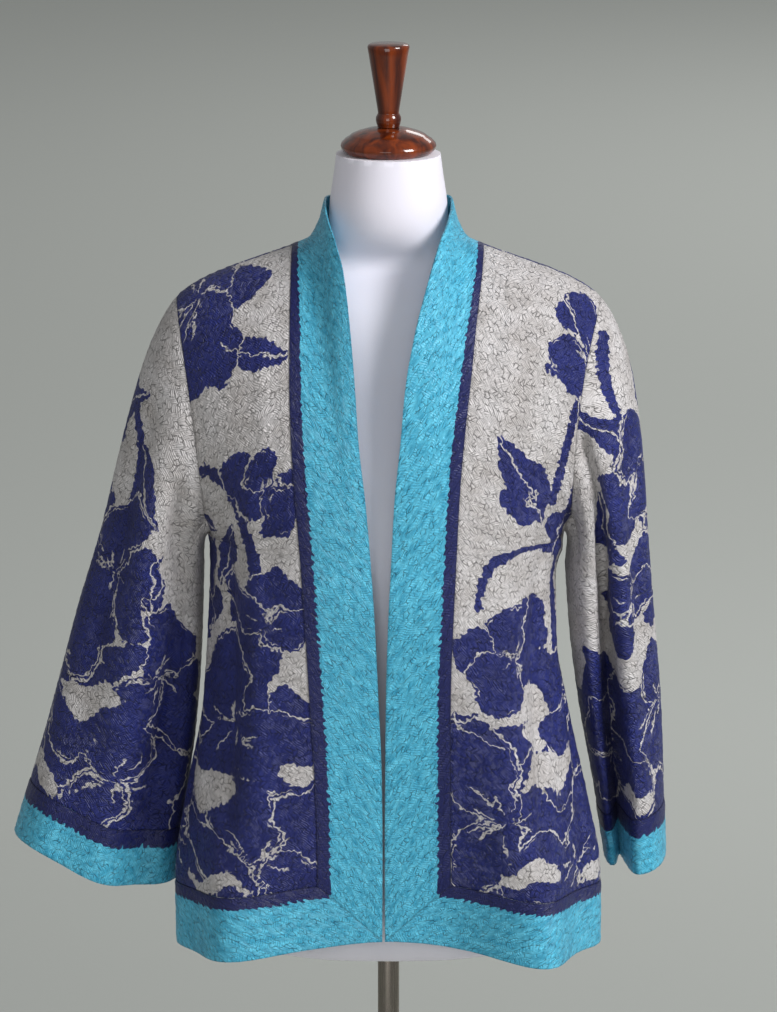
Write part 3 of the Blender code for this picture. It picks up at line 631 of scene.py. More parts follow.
# One crease: start, bend and end as (across, up), half width, and height (negative for a trough), in mm
CREASES = {
    "front_left": (
        ((150, 330), (128, 240), (134, 20), 10, 3.0), ((168, 300), (150, 200), (160, 30), 8, -3.6),
        ((50, 420), (58, 260), (56, 10), 14, 4.2), ((176, 352), (140, 372), (96, 420), 7, -2.2),
        ((172, 322), (130, 330), (92, 352), 6, 1.8), ((120, 600), (110, 540), (84, 470), 9, -1.8),
        ((30, 590), (34, 520), (30, 430), 8, 1.5), ((98, 400), (94, 200), (92, 6), 11, -6.0),
        ((196, 190), (186, 110), (196, 10), 8, 3.0),
    ),
    "front_right": (
        ((152, 340), (126, 250), (124, 20), 10, 3.2), ((170, 310), (148, 210), (152, 20), 8, -3.8),
        ((46, 430), (54, 260), (50, 10), 14, 4.4), ((178, 360), (146, 380), (104, 436), 7, -2.4),
        ((176, 330), (140, 334), (100, 366), 6, 2.0), ((150, 590), (128, 530), (96, 480), 9, -2.0),
        ((24, 560), (30, 500), (24, 410), 8, 1.6), ((90, 400), (82, 200), (86, 6), 11, -6.5),
        ((200, 180), (190, 90), (200, 10), 8, 3.0),
    ),
    "back": (
        ((0, 560), (6, 420), (-4, 260), 12, -2.0), ((70, 540), (56, 400), (62, 200), 11, 2.0),
        ((-66, 550), (-58, 400), (-70, 220), 11, 2.0), ((150, 390), (110, 360), (50, 350), 8, -2.2),
        ((-150, 396), (-104, 362), (-46, 344), 8, -2.4), ((164, 340), (120, 316), (70, 306), 7, 2.2),
        ((-164, 344), (-118, 320), (-72, 312), 7, 2.2), ((40, 270), (30, 120), (44, 12), 12, -4.0),
        ((-36, 260), (-28, 130), (-42, 12), 12, -3.6), ((120, 250), (128, 120), (116, 12), 11, 3.4),
        ((-122, 250), (-130, 120), (-120, 12), 11, 3.6), ((90, 600), (60, 590), (20, 560), 8, -1.6),
        ((-94, 604), (-60, 590), (-18, 566), 8, -1.6),
    ),
    "sleeve_left": (
        ((36, 330), (40, 200), (36, 20), 11, 2.6), ((80, 420), (78, 240), (72, 8), 13, -5.0),
        ((112, 440), (112, 260), (100, 20), 14, 3.6), ((150, 440), (166, 400), (160, 330), 9, -2.6),
        ((192, 400), (194, 240), (188, 20), 12, 3.0), ((216, 430), (220, 260), (218, 10), 11, -5.0),
        ((246, 430), (246, 300), (240, 20), 13, 4.0), ((264, 440), (274, 340), (280, 200), 11, -9.0),
        ((298, 420), (304, 300), (308, 120), 11, 4.0), ((338, 290), (316, 340), (272, 404), 8, -4.0),
    ),
    "sleeve_right": (
        ((44, 350), (46, 200), (40, 20), 13, -5.0), ((100, 430), (96, 240), (92, 10), 16, 3.6),
        ((150, 330), (138, 180), (128, 4), 12, -5.0), ((172, 420), (176, 300), (168, 60), 11, 2.8),
        ((214, 400), (212, 220), (204, 6), 13, 4.4), ((250, 420), (246, 240), (238, 4), 13, -7.0),
        ((284, 440), (286, 300), (282, 20), 16, 3.6), ((336, 240), (330, 130), (322, 4), 12, -9.0),
        ((294, 356), (312, 318), (342, 236), 9, -7.5), ((312, 372), (330, 330), (350, 270), 8, 3.0),
    ),
}


def along_curve(u, v, curve, count=26):
    """Distance of each point to a curve of start, bend and end, and how far along the nearest place is."""
    start, bend, end = (np.array(p, float) for p in curve)
    t = np.linspace(0, 1, count)[:, None]
    line = (1 - t) ** 2 * start + 2 * t * (1 - t) * bend + t * t * end
    nearest, share = np.full(u.shape, 1e9), np.zeros(u.shape)
    for i, (p, q) in enumerate(zip(line, line[1:])):
        d = q - p
        at = np.clip(((u - p[0]) * d[0] + (v - p[1]) * d[1]) / (d @ d), 0, 1)
        away = np.hypot(u - p[0] - at * d[0], v - p[1] - at * d[1])
        closer = away < nearest
        nearest = np.where(closer, away, nearest)
        share = np.where(closer, (i + at) / (count - 1), share)
    return nearest, share


def crease_height(u, v, rim, table):
    """How far the creases lift the cloth, in metres, with u, v and rim in metres."""
    lift = np.zeros(u.shape)
    for start, bend, end, width, height in table:
        away, share = along_curve(u * 1000, v * 1000, (start, bend, end))
        taper = np.sin(math.pi * np.clip(share, 0, 1)) ** 0.6
        lift = lift + height / 1000 * np.exp(-((away / width) ** 2)) * taper
    fade = np.clip(rim / CREASE_FADE, 0, 1)
    return lift * fade * fade * (3 - 2 * fade)


def ripple(points):
    """The puckers' small lift, in metres, by place, so that pieces sewn together ripple alike."""
    x, y, z = (points[..., i] * 1000 for i in range(3))
    first = np.sin(x / 1.55 + z / 3.1) * np.sin(z / 1.9 - x / 4.0 + y / 2.6)
    second = np.sin(z / 2.7 + y / 1.7 + x / 7.0) * np.sin(x / 2.9 - y / 2.2)
    return RIPPLE * first + RIPPLE * second


def flat_measure(points):
    """How far each grid point is along its row and up its column, in metres."""
    across = np.linalg.norm(np.diff(points, axis=1), axis=-1)
    up = np.linalg.norm(np.diff(points, axis=0), axis=-1)
    u = np.concatenate((np.zeros((len(points), 1)), np.cumsum(across, axis=1)), axis=1)
    v = np.concatenate((np.zeros((1, points.shape[1])), np.cumsum(up, axis=0)), axis=0)
    return u, v


# %% [markdown]
# ## The print
# The silk has a silver-cream ground and bold navy flowers: sparse on the shoulders, dense at the hem, with
# thin cream lines between the petals. The flowers here are a plain design of their own, drawn from short
# tables of blooms, leaves, stems and pale patches.
#
# An image could hold the print, but a signed distance needs none. Each grid point stores how far inside a
# shape it is. The material draws the edge where that number crosses zero, so the edge stays sharp between
# grid points, and a little noise makes it as uneven as ink on crinkled silk.

# %% The design, in mm across and up each piece
# Bloom: across, up, radius, turn, petals. Leaf: across, up, half length, half width, turn.
# Stem: start, bend, end, width. Pale patch: across, up, half width, half height, turn.
DESIGN = {
    "front_left": {
        "blooms": (
            (112, 556, 50, 10, 5), (60, 236, 56, 25, 5), (166, 176, 70, -10, 5), (44, 78, 82, 40, 5),
            (150, 30, 78, 0, 6), (228, 60, 60, 15, 5),
        ),
        "leaves": (
            (62, 404, 60, 22, 128), (126, 372, 44, 17, 66), (152, 300, 40, 16, 98), (24, 160, 34, 14, 150),
        ),
        "stems": (
            ((134, 476), (122, 400), (134, 220), 10), ((22, 276), (30, 366), (124, 330), 9),
            ((112, 540), (106, 470), (100, 400), 9),
        ),
        "navy_below": 160,
        "pale": ((112, 122, 40, 17, 22), (86, 22, 34, 11, 8), (208, 118, 16, 34, 12), (186, 12, 26, 9, -6)),
    },
    "front_right": {
        "blooms": (
            (104, 596, 84, 30, 5), (30, 398, 44, 40, 5), (46, 262, 54, -20, 5), (150, 292, 52, 50, 5),
            (84, 156, 84, 12, 6), (196, 176, 64, 30, 5), (56, 34, 84, 0, 5), (180, 44, 84, 22, 5),
        ),
        "leaves": (
            (34, 528, 40, 15, 205), (156, 456, 42, 16, 112), (132, 408, 44, 17, 60), (84, 330, 40, 16, 100),
            (196, 262, 36, 15, 84),
        ),
        "stems": (
            ((176, 436), (60, 500), (44, 296), 10), ((140, 400), (148, 360), (150, 320), 9),
            ((116, 530), (132, 500), (160, 480), 9),
        ),
        "navy_below": 190,
        "pale": ((120, 106, 42, 15, 28), (20, 118, 20, 11, 0), (226, 116, 22, 14, -24), (112, 10, 40, 9, 6)),
    },
    "back": {
        "blooms": (
            (-120, 596, 80, 10, 5), (-196, 600, 70, 30, 5), (150, 600, 70, 40, 5), (224, 600, 60, 10, 5),
            (20, 452, 58, 20, 5), (-110, 372, 66, -12, 6), (116, 330, 68, 8, 5), (-6, 248, 76, 30, 6),
            (-170, 196, 70, 0, 5), (170, 176, 74, 24, 5), (70, 92, 84, -10, 6), (-84, 86, 84, 14, 5),
            (-206, 50, 66, 30, 5), (212, 50, 66, 18, 5),
        ),
        "leaves": (
            (-36, 536, 44, 17, 30), (66, 388, 46, 18, 120), (-34, 356, 42, 16, 60), (162, 436, 42, 16, 80),
            (-166, 462, 42, 16, 100), (-200, 296, 40, 16, 72), (196, 272, 40, 16, 110),
            (78, 240, 40, 16, 36),
        ),
        "stems": (
            ((-104, 506), (-40, 470), (-100, 424), 10), ((24, 400), (70, 350), (0, 306), 10),
            ((134, 512), (176, 430), (122, 384), 9), ((-140, 330), (-190, 300), (-170, 250), 10),
            ((60, 300), (110, 250), (164, 230), 9),
        ),
        "navy_below": 186,
        "pale": (
            (-10, 158, 38, 15, 10), (132, 116, 34, 13, -24), (-126, 150, 26, 13, 30), (0, 30, 30, 11, -8),
            (-150, 12, 36, 10, 6), (150, 14, 26, 10, -6),
        ),
    },
    "sleeve_left": {
        "blooms": (
            (206, 336, 52, 10, 5), (104, 380, 52, 30, 5), (232, 226, 48, -14, 5), (140, 232, 62, 24, 5),
            (60, 190, 62, 0, 5), (206, 100, 72, 20, 5), (104, 92, 76, -10, 6), (12, 70, 60, 20, 5),
            (290, 60, 64, 0, 5),
        ),
        "leaves": (
            (240, 400, 42, 16, 68), (156, 424, 40, 15, 110), (262, 300, 38, 15, 84),
            (176, 300, 36, 14, 130),
        ),
        "stems": (
            ((210, 380), (240, 430), (206, 476), 9), ((236, 262), (262, 300), (214, 310), 9),
            ((104, 336), (112, 290), (136, 268), 9),
        ),
        "navy_below": 150,
        "pale": ((172, 160, 20, 34, 10), (52, 130, 30, 14, 20), (250, 24, 30, 10, 0), (150, 30, 30, 11, -12)),
    },
    "sleeve_right": {
        "blooms": (
            (244, 244, 62, 12, 5), (110, 356, 54, 30, 5), (170, 290, 52, -10, 5), (314, 150, 60, 20, 5),
            (196, 120, 84, 0, 6), (84, 180, 70, 20, 5), (284, 44, 76, 24, 5), (110, 50, 80, -8, 5),
            (10, 60, 60, 0, 5),
        ),
        "leaves": (
            (212, 380, 44, 17, 70), (262, 334, 42, 16, 110), (150, 438, 42, 16, 60), (296, 240, 38, 15, 84),
        ),
        "stems": (
            ((246, 300), (262, 376), (196, 410), 9), ((172, 336), (160, 400), (190, 450), 9),
            ((110, 306), (118, 262), (150, 236), 9),
        ),
        "navy_below": 136,
        "pale": (
            (250, 112, 34, 15, 24), (140, 138, 26, 13, -20), (216, 18, 36, 11, 0), (50, 118, 30, 12, 10),
        ),
    },
}


# A petal's middle, half length and half width, as shares of its bloom's radius
PETAL_OUT, PETAL_LONG, PETAL_WIDE = 0.52, 0.55, 0.44
RIB_COUNT = 7


def turned(degrees):
    """Cosine and sine of an angle."""
    return math.cos(math.radians(degrees)), math.sin(math.radians(degrees))


def along_and_beside(u, v, turn):
    """A place measured along and across an axis at this turn."""
    c, s = turned(turn)
    return u * c + v * s, v * c - u * s


def oval(u, v, cu, cv, half_u, half_v, turn):
    """Distance inside an oval, and the distance to one side of its long axis, in mm."""
    a, b = along_and_beside(u - cu, v - cv, turn)
    return (1 - np.hypot(a / half_u, b / half_v)) * min(half_u, half_v), b


def pointed(u, v, cu, cv, long, wide, turn):
    """As oval, for a leaf with two pointed ends."""
    a, b = along_and_beside(u - cu, v - cv, turn)
    b = b + 0.22 * wide * (a / long) ** 2
    return wide * np.clip(1 - (a / long) ** 2, -1, 1) - np.abs(b), b


def print_fields(u, v, design):
    """The print's distances at each point, in metres: inside the navy, the near and the far petals, to one
    side of a vein, and inside the vein's own shape."""
    flat_u, flat_v = u * 1000, v * 1000
    u = flat_u + 7.0 * np.sin(flat_v / 19.0 + 1) + 4.0 * np.sin(flat_v / 8.7 + 2) + 1.8 * np.sin(flat_v / 4.1)
    v = flat_v + 7.0 * np.sin(flat_u / 17.0) + 4.0 * np.sin(flat_u / 9.1 + 1) + 1.8 * np.sin(flat_u / 4.7)
    far_off = np.full(u.shape, -60.0)
    navy, near, far, vein_in = far_off, far_off, far_off, far_off
    vein = np.full(u.shape, 60.0)
    level = design["navy_below"] + 16 * np.sin(u / 21.0) + 9 * np.sin(u / 9.5 + 1.0)
    ground = level - v
    for number, (cu, cv, radius, turn, petals) in enumerate(design["blooms"]):
        for k in range(petals):
            size = radius * (1 + 0.16 * math.sin(2.3 * k + 1.7 * number))
            aim = turn + 360 * k / petals + 9 * math.sin(3.1 * k + number)
            c, s = turned(aim)
            out = PETAL_OUT * size
            shape, _ = oval(u, v, cu + out * c, cv + out * s, PETAL_LONG * size, PETAL_WIDE * size, aim)
            navy = np.maximum(navy, shape)
            if k % 2:
                near = np.maximum(near, shape)
            else:
                far = np.maximum(far, shape)
        for k in range(RIB_COUNT):
            aim = turn + 51 * k + 17 * math.sin(2.3 * k + size)
            c, s = turned(aim)
            out = size * (0.22 + 0.07 * math.sin(2.4 * k + turn))
            rib, beside = oval(u, v, cu + out * c, cv + out * s, 0.15 * size, 0.045 * size, aim)
            vein = np.where(rib > vein_in, beside, vein)
            vein_in = np.maximum(vein_in, rib)
    for cu, cv, long, wide, turn in design["leaves"]:
        shape, beside = pointed(u, v, cu, cv, long, wide, turn)
        navy = np.maximum(navy, shape)
        vein = np.where(shape > vein_in, beside, vein)
        vein_in = np.maximum(vein_in, shape)
    for start, bend, end, width in design["stems"]:
        away, share = along_curve(flat_u, flat_v, (start, bend, end))
        navy = np.maximum(navy, width * (0.42 + 0.22 * share) - away)
    navy = np.maximum(navy, ground)
    for patch in design["pale"]:
        navy = np.minimum(navy, -oval(u, v, *patch)[0])
    fields = {"navy": navy, "near": near, "far": far, "vein": vein, "vein_in": vein_in}
    return {name: field / 1000 for name, field in fields.items()}


# %% [markdown]
# ## From a grid to a thin shell
# The grid is moved out to the solid's outer face, lifted by its creases and ripple, and joined by quads.
# Its flat measure becomes the UV map, and each field becomes an attribute. Solidify then gives the cloth
# its thickness, inwards, so the shell stays in its solid's wall.


# %% Build a shell
CLOTH_SMOOTH = math.radians(50)
# A seam presses the cloth in by this much, over this width
SEAM_PRESS = 0.0005
SEAM_SOFTNESS = 0.002


def rim_distance(u, v, closed):
    """How far each point is from the piece's edge, in metres."""
    rim = np.minimum(v - v.min(axis=0), v.max(axis=0) - v)
    if not closed:
        rim = np.minimum(rim, np.minimum(u - u.min(axis=1, keepdims=True), u.max(axis=1, keepdims=True) - u))
    return rim


def quads(index):
    """The four corners of each face of a grid of numbers."""
    corners = (index[:-1, :-1], index[:-1, 1:], index[1:, 1:], index[1:, :-1])
    return np.stack(corners, axis=-1).reshape(-1, 4)


def shell(name, outer, normals, u, v, fields, thickness, closed=False):
    """A cloth piece of the given outer points. closed joins the last column to the first, and u and v then
    have one more column than the points."""
    rows, columns = outer.shape[:2]
    index = np.arange(rows * columns).reshape(rows, columns)
    if closed:
        index = np.concatenate((index, index[:, :1]), axis=1)
    corner, uv_corner = quads(index), quads(np.arange(u.size).reshape(u.shape))
    points = outer.reshape(-1, 3)
    a, b, c = points[corner[:, 0]], points[corner[:, 1]], points[corner[:, 3]]
    facing = np.einsum("ij,ij->i", np.cross(b - a, c - a), normals.reshape(-1, 3)[corner[:, 0]])
    if np.sum(facing) < 0:
        corner, uv_corner = corner[:, ::-1], uv_corner[:, ::-1]
    data = bpy.data.meshes.new(name)
    data.from_pydata(points.tolist(), [], corner.tolist())
    uv_map = data.uv_layers.new(name="cloth")
    flat = np.stack((u.ravel(), v.ravel()), axis=-1)[uv_corner.ravel()]
    uv_map.data.foreach_set("uv", flat.astype(np.float32).ravel())
    for key, field in fields.items():
        attribute = data.attributes.new(key, "FLOAT", "POINT")
        attribute.data.foreach_set("value", field[:, :columns].astype(np.float32).ravel())
    piece = new_piece(name, data)
    wall = piece.modifiers.new("Cloth", "SOLIDIFY")
    wall.thickness = thickness
    wall.offset = -1
    bpy.ops.object.modifier_apply(modifier="Cloth")
    bpy.ops.object.shade_smooth_by_angle(angle=CLOTH_SMOOTH)
    return piece


def draw_in(points, closed):
    """The grid with its border drawn in by half the seam's gap."""
    moved = points.copy()
    for edge, inner in ((0, 1), (-1, -2)):
        moved[edge] += unit(points[inner] - points[edge]) * SEAM_GAP / 2
        if not closed:
            moved[:, edge] += unit(points[:, inner] - points[:, edge]) * SEAM_GAP / 2
    return moved


def dress(name, node, points, normals, wall, thickness, finish, closed=False, centre=False, down=False):
    """Builds the shell that stands for a cloth solid. centre measures across from the middle column, and down
    says that the rows run down, so that up is measured from the last row."""
    grid = np.concatenate((points, points[:, :1]), axis=1) if closed else points
    u, v = flat_measure(grid)
    width, length = np.ptp(u), np.ptp(v)
    if centre:
        u = u - u[:, u.shape[1] // 2][:, None]
    if down:
        v = v[-1] - v
        u = np.repeat(u[len(u) // 2][None, :], len(u), axis=0)
    rim = rim_distance(u, v, closed)
    fields = {"rim": rim}
    lift = np.zeros(u.shape)
    if node in DESIGN:
        lift = crease_height(u, v, rim, CREASES[node])
        fields.update(print_fields(u, v, DESIGN[node]))
    if closed:
        lift[:, -1] = lift[:, 0]
    lift = lift[:, : points.shape[1]]
    points = draw_in(points, closed)
    pressed = SEAM_PRESS * np.exp(-((rim[:, : points.shape[1]] / SEAM_SOFTNESS) ** 2))
    outer = points + normals * (wall - pressed + lift + ripple(points))[..., None]
    piece = shell(name, outer, normals, u, v, fields, thickness, closed)
    piece.data.materials.append(bpy.data.materials[finish])
    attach(piece, "root")
    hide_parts(node)
    area = sum(face.area for face in piece.data.polygons) / 2
    print(f"{name}: {len(piece.data.polygons)} faces, {area:.4f} m2, across {width:.3f}, up {length:.3f}")
    return piece


# %% [markdown]
# ## Crinkled silk
# The silk is a plain weave, crinkled all over and set by heat. Its puckers are cells about 4 mm wide and
# 5 mm long. Fine strokes 1.8 mm apart slant one way or the other in each, like a broken basket weave, and
# short creases run between some of them. They catch the light in a soft broken sheen. One node group draws
# them from the UV map, with a finer grain on top. The silk's colour also carries painted shade in the
# hollows and creases and a painted highlight on the crests.

# %% The pucker group
MM = 0.001
PUCKER_WIDTH = 4.0 * MM
PUCKER_LENGTH = 5.4 * MM
STROKE_STEP = 2.5 * MM
TEETH = {"X": 3.1 * MM, "Y": 3.4 * MM}
puckers = bpy.data.node_groups.new("silk_puckers", "ShaderNodeTree")
for output in ("Height", "Wobble", "Crease"):
    puckers.interface.new_socket(output, in_out="OUTPUT", socket_type="NodeSocketFloat")
flat = add_node(puckers, "ShaderNodeUVMap", uv_map="cloth").outputs["UV"]
drift = add_node(puckers, "ShaderNodeTexNoise", Vector=flat, Scale=55.0, Detail=2.0).outputs["Color"]
drift = vectors(puckers, "SUBTRACT", in_0=drift, in_1=(0.5, 0.5, 0.5))
drift = vectors(puckers, "SCALE", in_0=drift, Scale=8 * MM)
moved = vectors(puckers, "ADD", in_0=flat, in_1=drift)
parts = add_node(puckers, "ShaderNodeSeparateXYZ", Vector=moved)
row = maths(puckers, "DIVIDE", parts.outputs["Y"], PUCKER_LENGTH)
lean = maths(puckers, "PINGPONG", row, 1.0)
across = maths(puckers, "DIVIDE", parts.outputs["X"], PUCKER_WIDTH)
across = maths(puckers, "MULTIPLY_ADD", lean, 0.7, across)
cell = add_node(puckers, "ShaderNodeCombineXYZ", X=across, Y=row).outputs[0]
crumple = {"voronoi_dimensions": "2D", "Vector": cell, "Scale": 1.0, "Randomness": 0.85}
cells = add_node(puckers, "ShaderNodeTexVoronoi", **crumple)
slant = add_node(puckers, "ShaderNodeSeparateXYZ", Vector=cells.outputs["Color"]).outputs["X"]
slant = maths(puckers, "GREATER_THAN", slant, 0.5)
slant = maths(puckers, "MULTIPLY_ADD", slant, 2.0, -1.0)
stroke = maths(puckers, "MULTIPLY_ADD", parts.outputs["Y"], slant, parts.outputs["X"])
stroke = maths(puckers, "MULTIPLY", stroke, 2 * math.pi / STROKE_STEP)
stroke = maths(puckers, "SINE", stroke)
pillow = remap(puckers, cells.outputs["Distance"], 0.1, 0.8, 1.0, 0.0)
seam = add_node(puckers, "ShaderNodeTexVoronoi", feature="DISTANCE_TO_EDGE", **crumple).outputs["Distance"]
seam = remap(puckers, seam, 0.02, 0.12, 1.0, 0.0)
patchy = noise(puckers, flat, 150.0, 2.0)
sparse = remap(puckers, patchy, 0.47, 0.6)
crease = maths(puckers, "MULTIPLY", seam, sparse)
lumps = noise(puckers, moved, 150.0, 2.0)
grain = noise(puckers, flat, 560.0, 3.0)
height = maths(puckers, "MULTIPLY", pillow, patchy)
for layer, weight in ((stroke, 0.2), (crease, -0.65), (grain, 0.4), (lumps, 0.4)):
    height = maths(puckers, "MULTIPLY_ADD", layer, weight, height)
wobble = maths(puckers, "SUBTRACT", lumps, 0.5)
wobble = maths(puckers, "MULTIPLY_ADD", pillow, 0.18, wobble)
wobble = maths(puckers, "SUBTRACT", wobble, 0.09)
for axis, pitch in TEETH.items():
    tooth = maths(puckers, "DIVIDE", parts.outputs[axis], pitch)
    tooth = maths(puckers, "PINGPONG", tooth, 1.0)
    wobble = maths(puckers, "MULTIPLY_ADD", tooth, 0.22, wobble)
    wobble = maths(puckers, "SUBTRACT", wobble, 0.11)
add_node(puckers, "NodeGroupOutput", Height=height, Wobble=wobble, Crease=crease)


def start_silk(name):
    """A silk's tree, shader, pucker group, the group's wobble, and the flat measure."""
    _, tree, shader = new_material(name)
    group = add_node(tree, "ShaderNodeGroup", node_tree=puckers)
    flat = add_node(tree, "ShaderNodeUVMap", uv_map="cloth").outputs["UV"]
    return tree, shader, group, group.outputs["Wobble"], flat


def finish_silk(tree, shader, colour, group, depth, roughness):
    """Joins a silk's colour and its puckers to the shader. The colour carries painted shade in the pucker
    hollows, the creases and the seams' dip, and a painted highlight on the pucker crests.
    """
    puckered, crease = group.outputs["Height"], group.outputs["Crease"]
    rim = attribute(tree, "rim")
    # Painted shade: the colour is darkened within 2 mm of each seam, where the pressed seam dips.
    inside = remap(tree, rim, 0.2 * MM, 2.0 * MM, 0.72, 1.0)
    # Painted shade and highlight: the colour is darker in the pucker hollows and lighter on their crests.
    painted_shading = remap(tree, puckered, 0.3, 0.9, 0.84, 1.12)
    # Painted shade: the colour is darker again along the creases between puckers.
    painted_shading = maths(tree, "MULTIPLY_ADD", crease, -0.36, painted_shading)
    painted_shading = maths(tree, "MULTIPLY", painted_shading, inside)
    colour = vectors(tree, "SCALE", in_0=colour, Scale=painted_shading)
    tree.links.new(colour, shader.inputs["Base Color"])
    bump(tree, shader, puckered, depth)
    set_inputs(shader, Roughness=roughness, Specular_IOR_Level=0.4, IOR=1.5)
    set_inputs(shader, Sheen_Weight=0.04, Sheen_Roughness=0.4)


# %% [markdown]
# ## Printed silk
# One material draws the print on all five panels. Navy shows where the cloth is inside a shape and off the
# thin pale lines: the edge of the near petals, the edge of the far petals where no near petal covers it,
# and the veins. The lines' width wanders, and they break off where it falls to nothing.

# %% Printed silk
tree, shader, group, wobble, flat = start_silk("crinkled_printed_silk")
field = {name: attribute(tree, name) for name in ("navy", "near", "far", "vein", "vein_in")}
roam = noise(tree, flat, 85.0, 1.0)
breaks = noise(tree, flat, 42.0, 1.0)
line_width = remap(tree, breaks, 0.36, 0.62, 0.3 * MM, 1.3 * MM)
twin_width = remap(tree, breaks, 0.48, 0.58, -0.5 * MM, 0.6 * MM)
shift = maths(tree, "MULTIPLY", wobble, 6.0 * MM)
shift = maths(tree, "MULTIPLY_ADD", roam, 3.0 * MM, shift)
shift = maths(tree, "SUBTRACT", shift, 1.5 * MM)
inked = maths(tree, "ADD", field["navy"], shift)
inked = remap(tree, inked, -0.3 * MM, 0.3 * MM)
# Line: field, distance inside its edge in mm, width, and a field that hides it inside (0, 1) or outside
LINES = (
    ("near", 0.0, line_width, None, ()),
    ("near", 4.2, twin_width, None, ()),
    ("far", 0.0, line_width, "near", (0.0, 1.0)),
    ("vein", 0.0, line_width, "vein_in", (1.0, 0.0)),
)
for name, inset, width, cover, hides in LINES:
    edge = maths(tree, "ADD", field[name], shift)
    edge = maths(tree, "SUBTRACT", edge, inset * MM)
    edge = maths(tree, "ABSOLUTE", edge)
    edge = maths(tree, "SUBTRACT", edge, width)
    off_line = remap(tree, edge, -0.2 * MM, 0.4 * MM)
    if cover:
        hidden = remap(tree, field[cover], 0.2 * MM, 1.0 * MM, *hides)
        off_line = maths(tree, "MAXIMUM", off_line, hidden)
    inked = maths(tree, "MULTIPLY", inked, off_line)
mottle = noise(tree, flat, 30.0, 4.0, Roughness=0.6)
mottle = remap(tree, mottle, 0.3, 0.7)
cream = blend(tree, mottle, "#B6B0AE", "#D6D2D3")
navy = blend(tree, mottle, "#171E5C", "#242D76")
colour = blend(tree, inked, cream, navy)
finish_silk(tree, shader, colour, group, 1.4 * MM, 0.46)

# %% [markdown]
# ## Turquoise silk
# The band, the hem border and the cuffs are dyed turquoise, and the dye stops short of the seam, where a
# navy strip is left. Its edge is scalloped, as on cloth that was pleated when the dye went on. Each point
# carries how far it is from the free edge, so the strip turns the corner at the mitre.

# %% Turquoise silk
tree, shader, group, wobble, flat = start_silk("crinkled_turquoise_silk")
past = attribute(tree, "past_dye")
along = attribute(tree, "along")
scallop = maths(tree, "DIVIDE", along, 8 * MM)
scallop = maths(tree, "PINGPONG", scallop, 0.5)
scallop = maths(tree, "MULTIPLY", scallop, 3.2 * MM)
shift = maths(tree, "MULTIPLY_ADD", wobble, 5.0 * MM, scallop)
strip = maths(tree, "ADD", past, shift)
strip = remap(tree, strip, 0.5 * MM, 1.1 * MM)
mottle = noise(tree, flat, 110.0, 5.0, Roughness=0.7)
mottle = remap(tree, mottle, 0.32, 0.68)
blue = blend(tree, mottle, "#2790B4", "#66CCEA")
colour = blend(tree, strip, blue, "#1A2058")
finish_silk(tree, shader, colour, group, 0.6 * MM, 0.42)

# %% [markdown]
# ## Sewing the jacket
# Each solid's shell is built in turn. The sleeves come first, because the fronts and the back share their
# armhole edge and its direction. The silk is 0.8 mm thick here with its puckers, and the borders, folded
# double, are 1.6 mm.

# %% Sleeves and cuffs
SILK = 0.0008
DOUBLE_SILK = 0.0016
STRIP_WIDTH = 0.012
rims = {}


def run_length(line):
    """How far each point of a line is from its start, along it."""
    steps = np.linalg.norm(np.diff(line, axis=0), axis=-1)
    return np.concatenate(([0], np.cumsum(steps)))


def add_panel(node, points, normals, **shape):
    """A printed piece, dressed."""
    piece = dress("silk_" + node, node, points, normals, PANEL_WALL, SILK, "crinkled_printed_silk", **shape)


def add_border(node, points, normals, across, along, width=BORDER_WIDTH, **shape):
    """A turquoise piece, with its strip's measure as attributes: how far past the dye's edge a point is, and
    how far along. across is 0 at the free edge and 1 at the seam, and along is in metres."""
    finish = "crinkled_turquoise_silk"
    piece = dress("silk_" + node, node, points, normals, BAND_WALL, DOUBLE_SILK, finish, **shape)
    count = points.shape[0] * points.shape[1]
    fields = {"past_dye": across * width - (width - STRIP_WIDTH), "along": along}
    for key, field in fields.items():
        values = np.broadcast_to(field, points.shape[:2]).astype(np.float32).ravel()
        attribute = piece.data.attributes.new(key, "FLOAT", "POINT")
        total = len(piece.data.vertices)
        attribute.data.foreach_set("value", np.tile(values, total // count + 1)[:total])


for label, spec in SLEEVES.items():
    side = spec["side"]
    points, seam_row = sleeve_points(spec)
    normals = tube_normals(points, side)
    angles, heights, _ = armhole_loop(side)
    on_armhole = body_normal(angles, heights)
    both = unit(on_armhole + normals[0])
    normals[0] = both / np.maximum(np.sum(both * on_armhole, axis=-1, keepdims=True), 0.8)
    rims[side] = normals[0]
    under = len(CLIMB) - 1
    order = np.roll(np.arange(points.shape[1]), -under)
    sleeve, direction = points[: seam_row + 1, order], normals[: seam_row + 1, order]
    add_panel("sleeve_" + label, sleeve, direction, closed=True, down=True)
    cuff, direction = points[seam_row:, order], normals[seam_row:, order]
    across = np.linspace(1, 0, len(cuff))[:, None]
    along = run_length(cuff[-1])[None, :]
    add_border("cuff_" + label, cuff, direction, across, along, CUFF_WIDTH, closed=True)

# %% Fronts, bands and hems
low_count, top = len(LOWER) - 1, len(CLIMB) - 1
for label, side in (("left", 1), ("right", -1)):
    angle, h = front_grid(side)
    points, normals = on_body(angle, h)
    for j in range(top + 1):
        normals[low_count + j, -1] = rims[side][top - j]
    add_panel("front_" + label, points, normals)
    hem_a, hem_h = hem_grid(angle[0], h[0], side)
    points, normals = on_body(hem_a, hem_h)
    add_border("hem_front_" + label, points, normals, BORDER[:, None], run_length(points[0])[None, :])
    angle, h = band_grid(side)
    points, normals = on_body(angle, h)
    add_border("band_" + label, points, normals, 1 - BORDER[None, :], run_length(points[:, 0])[:, None])

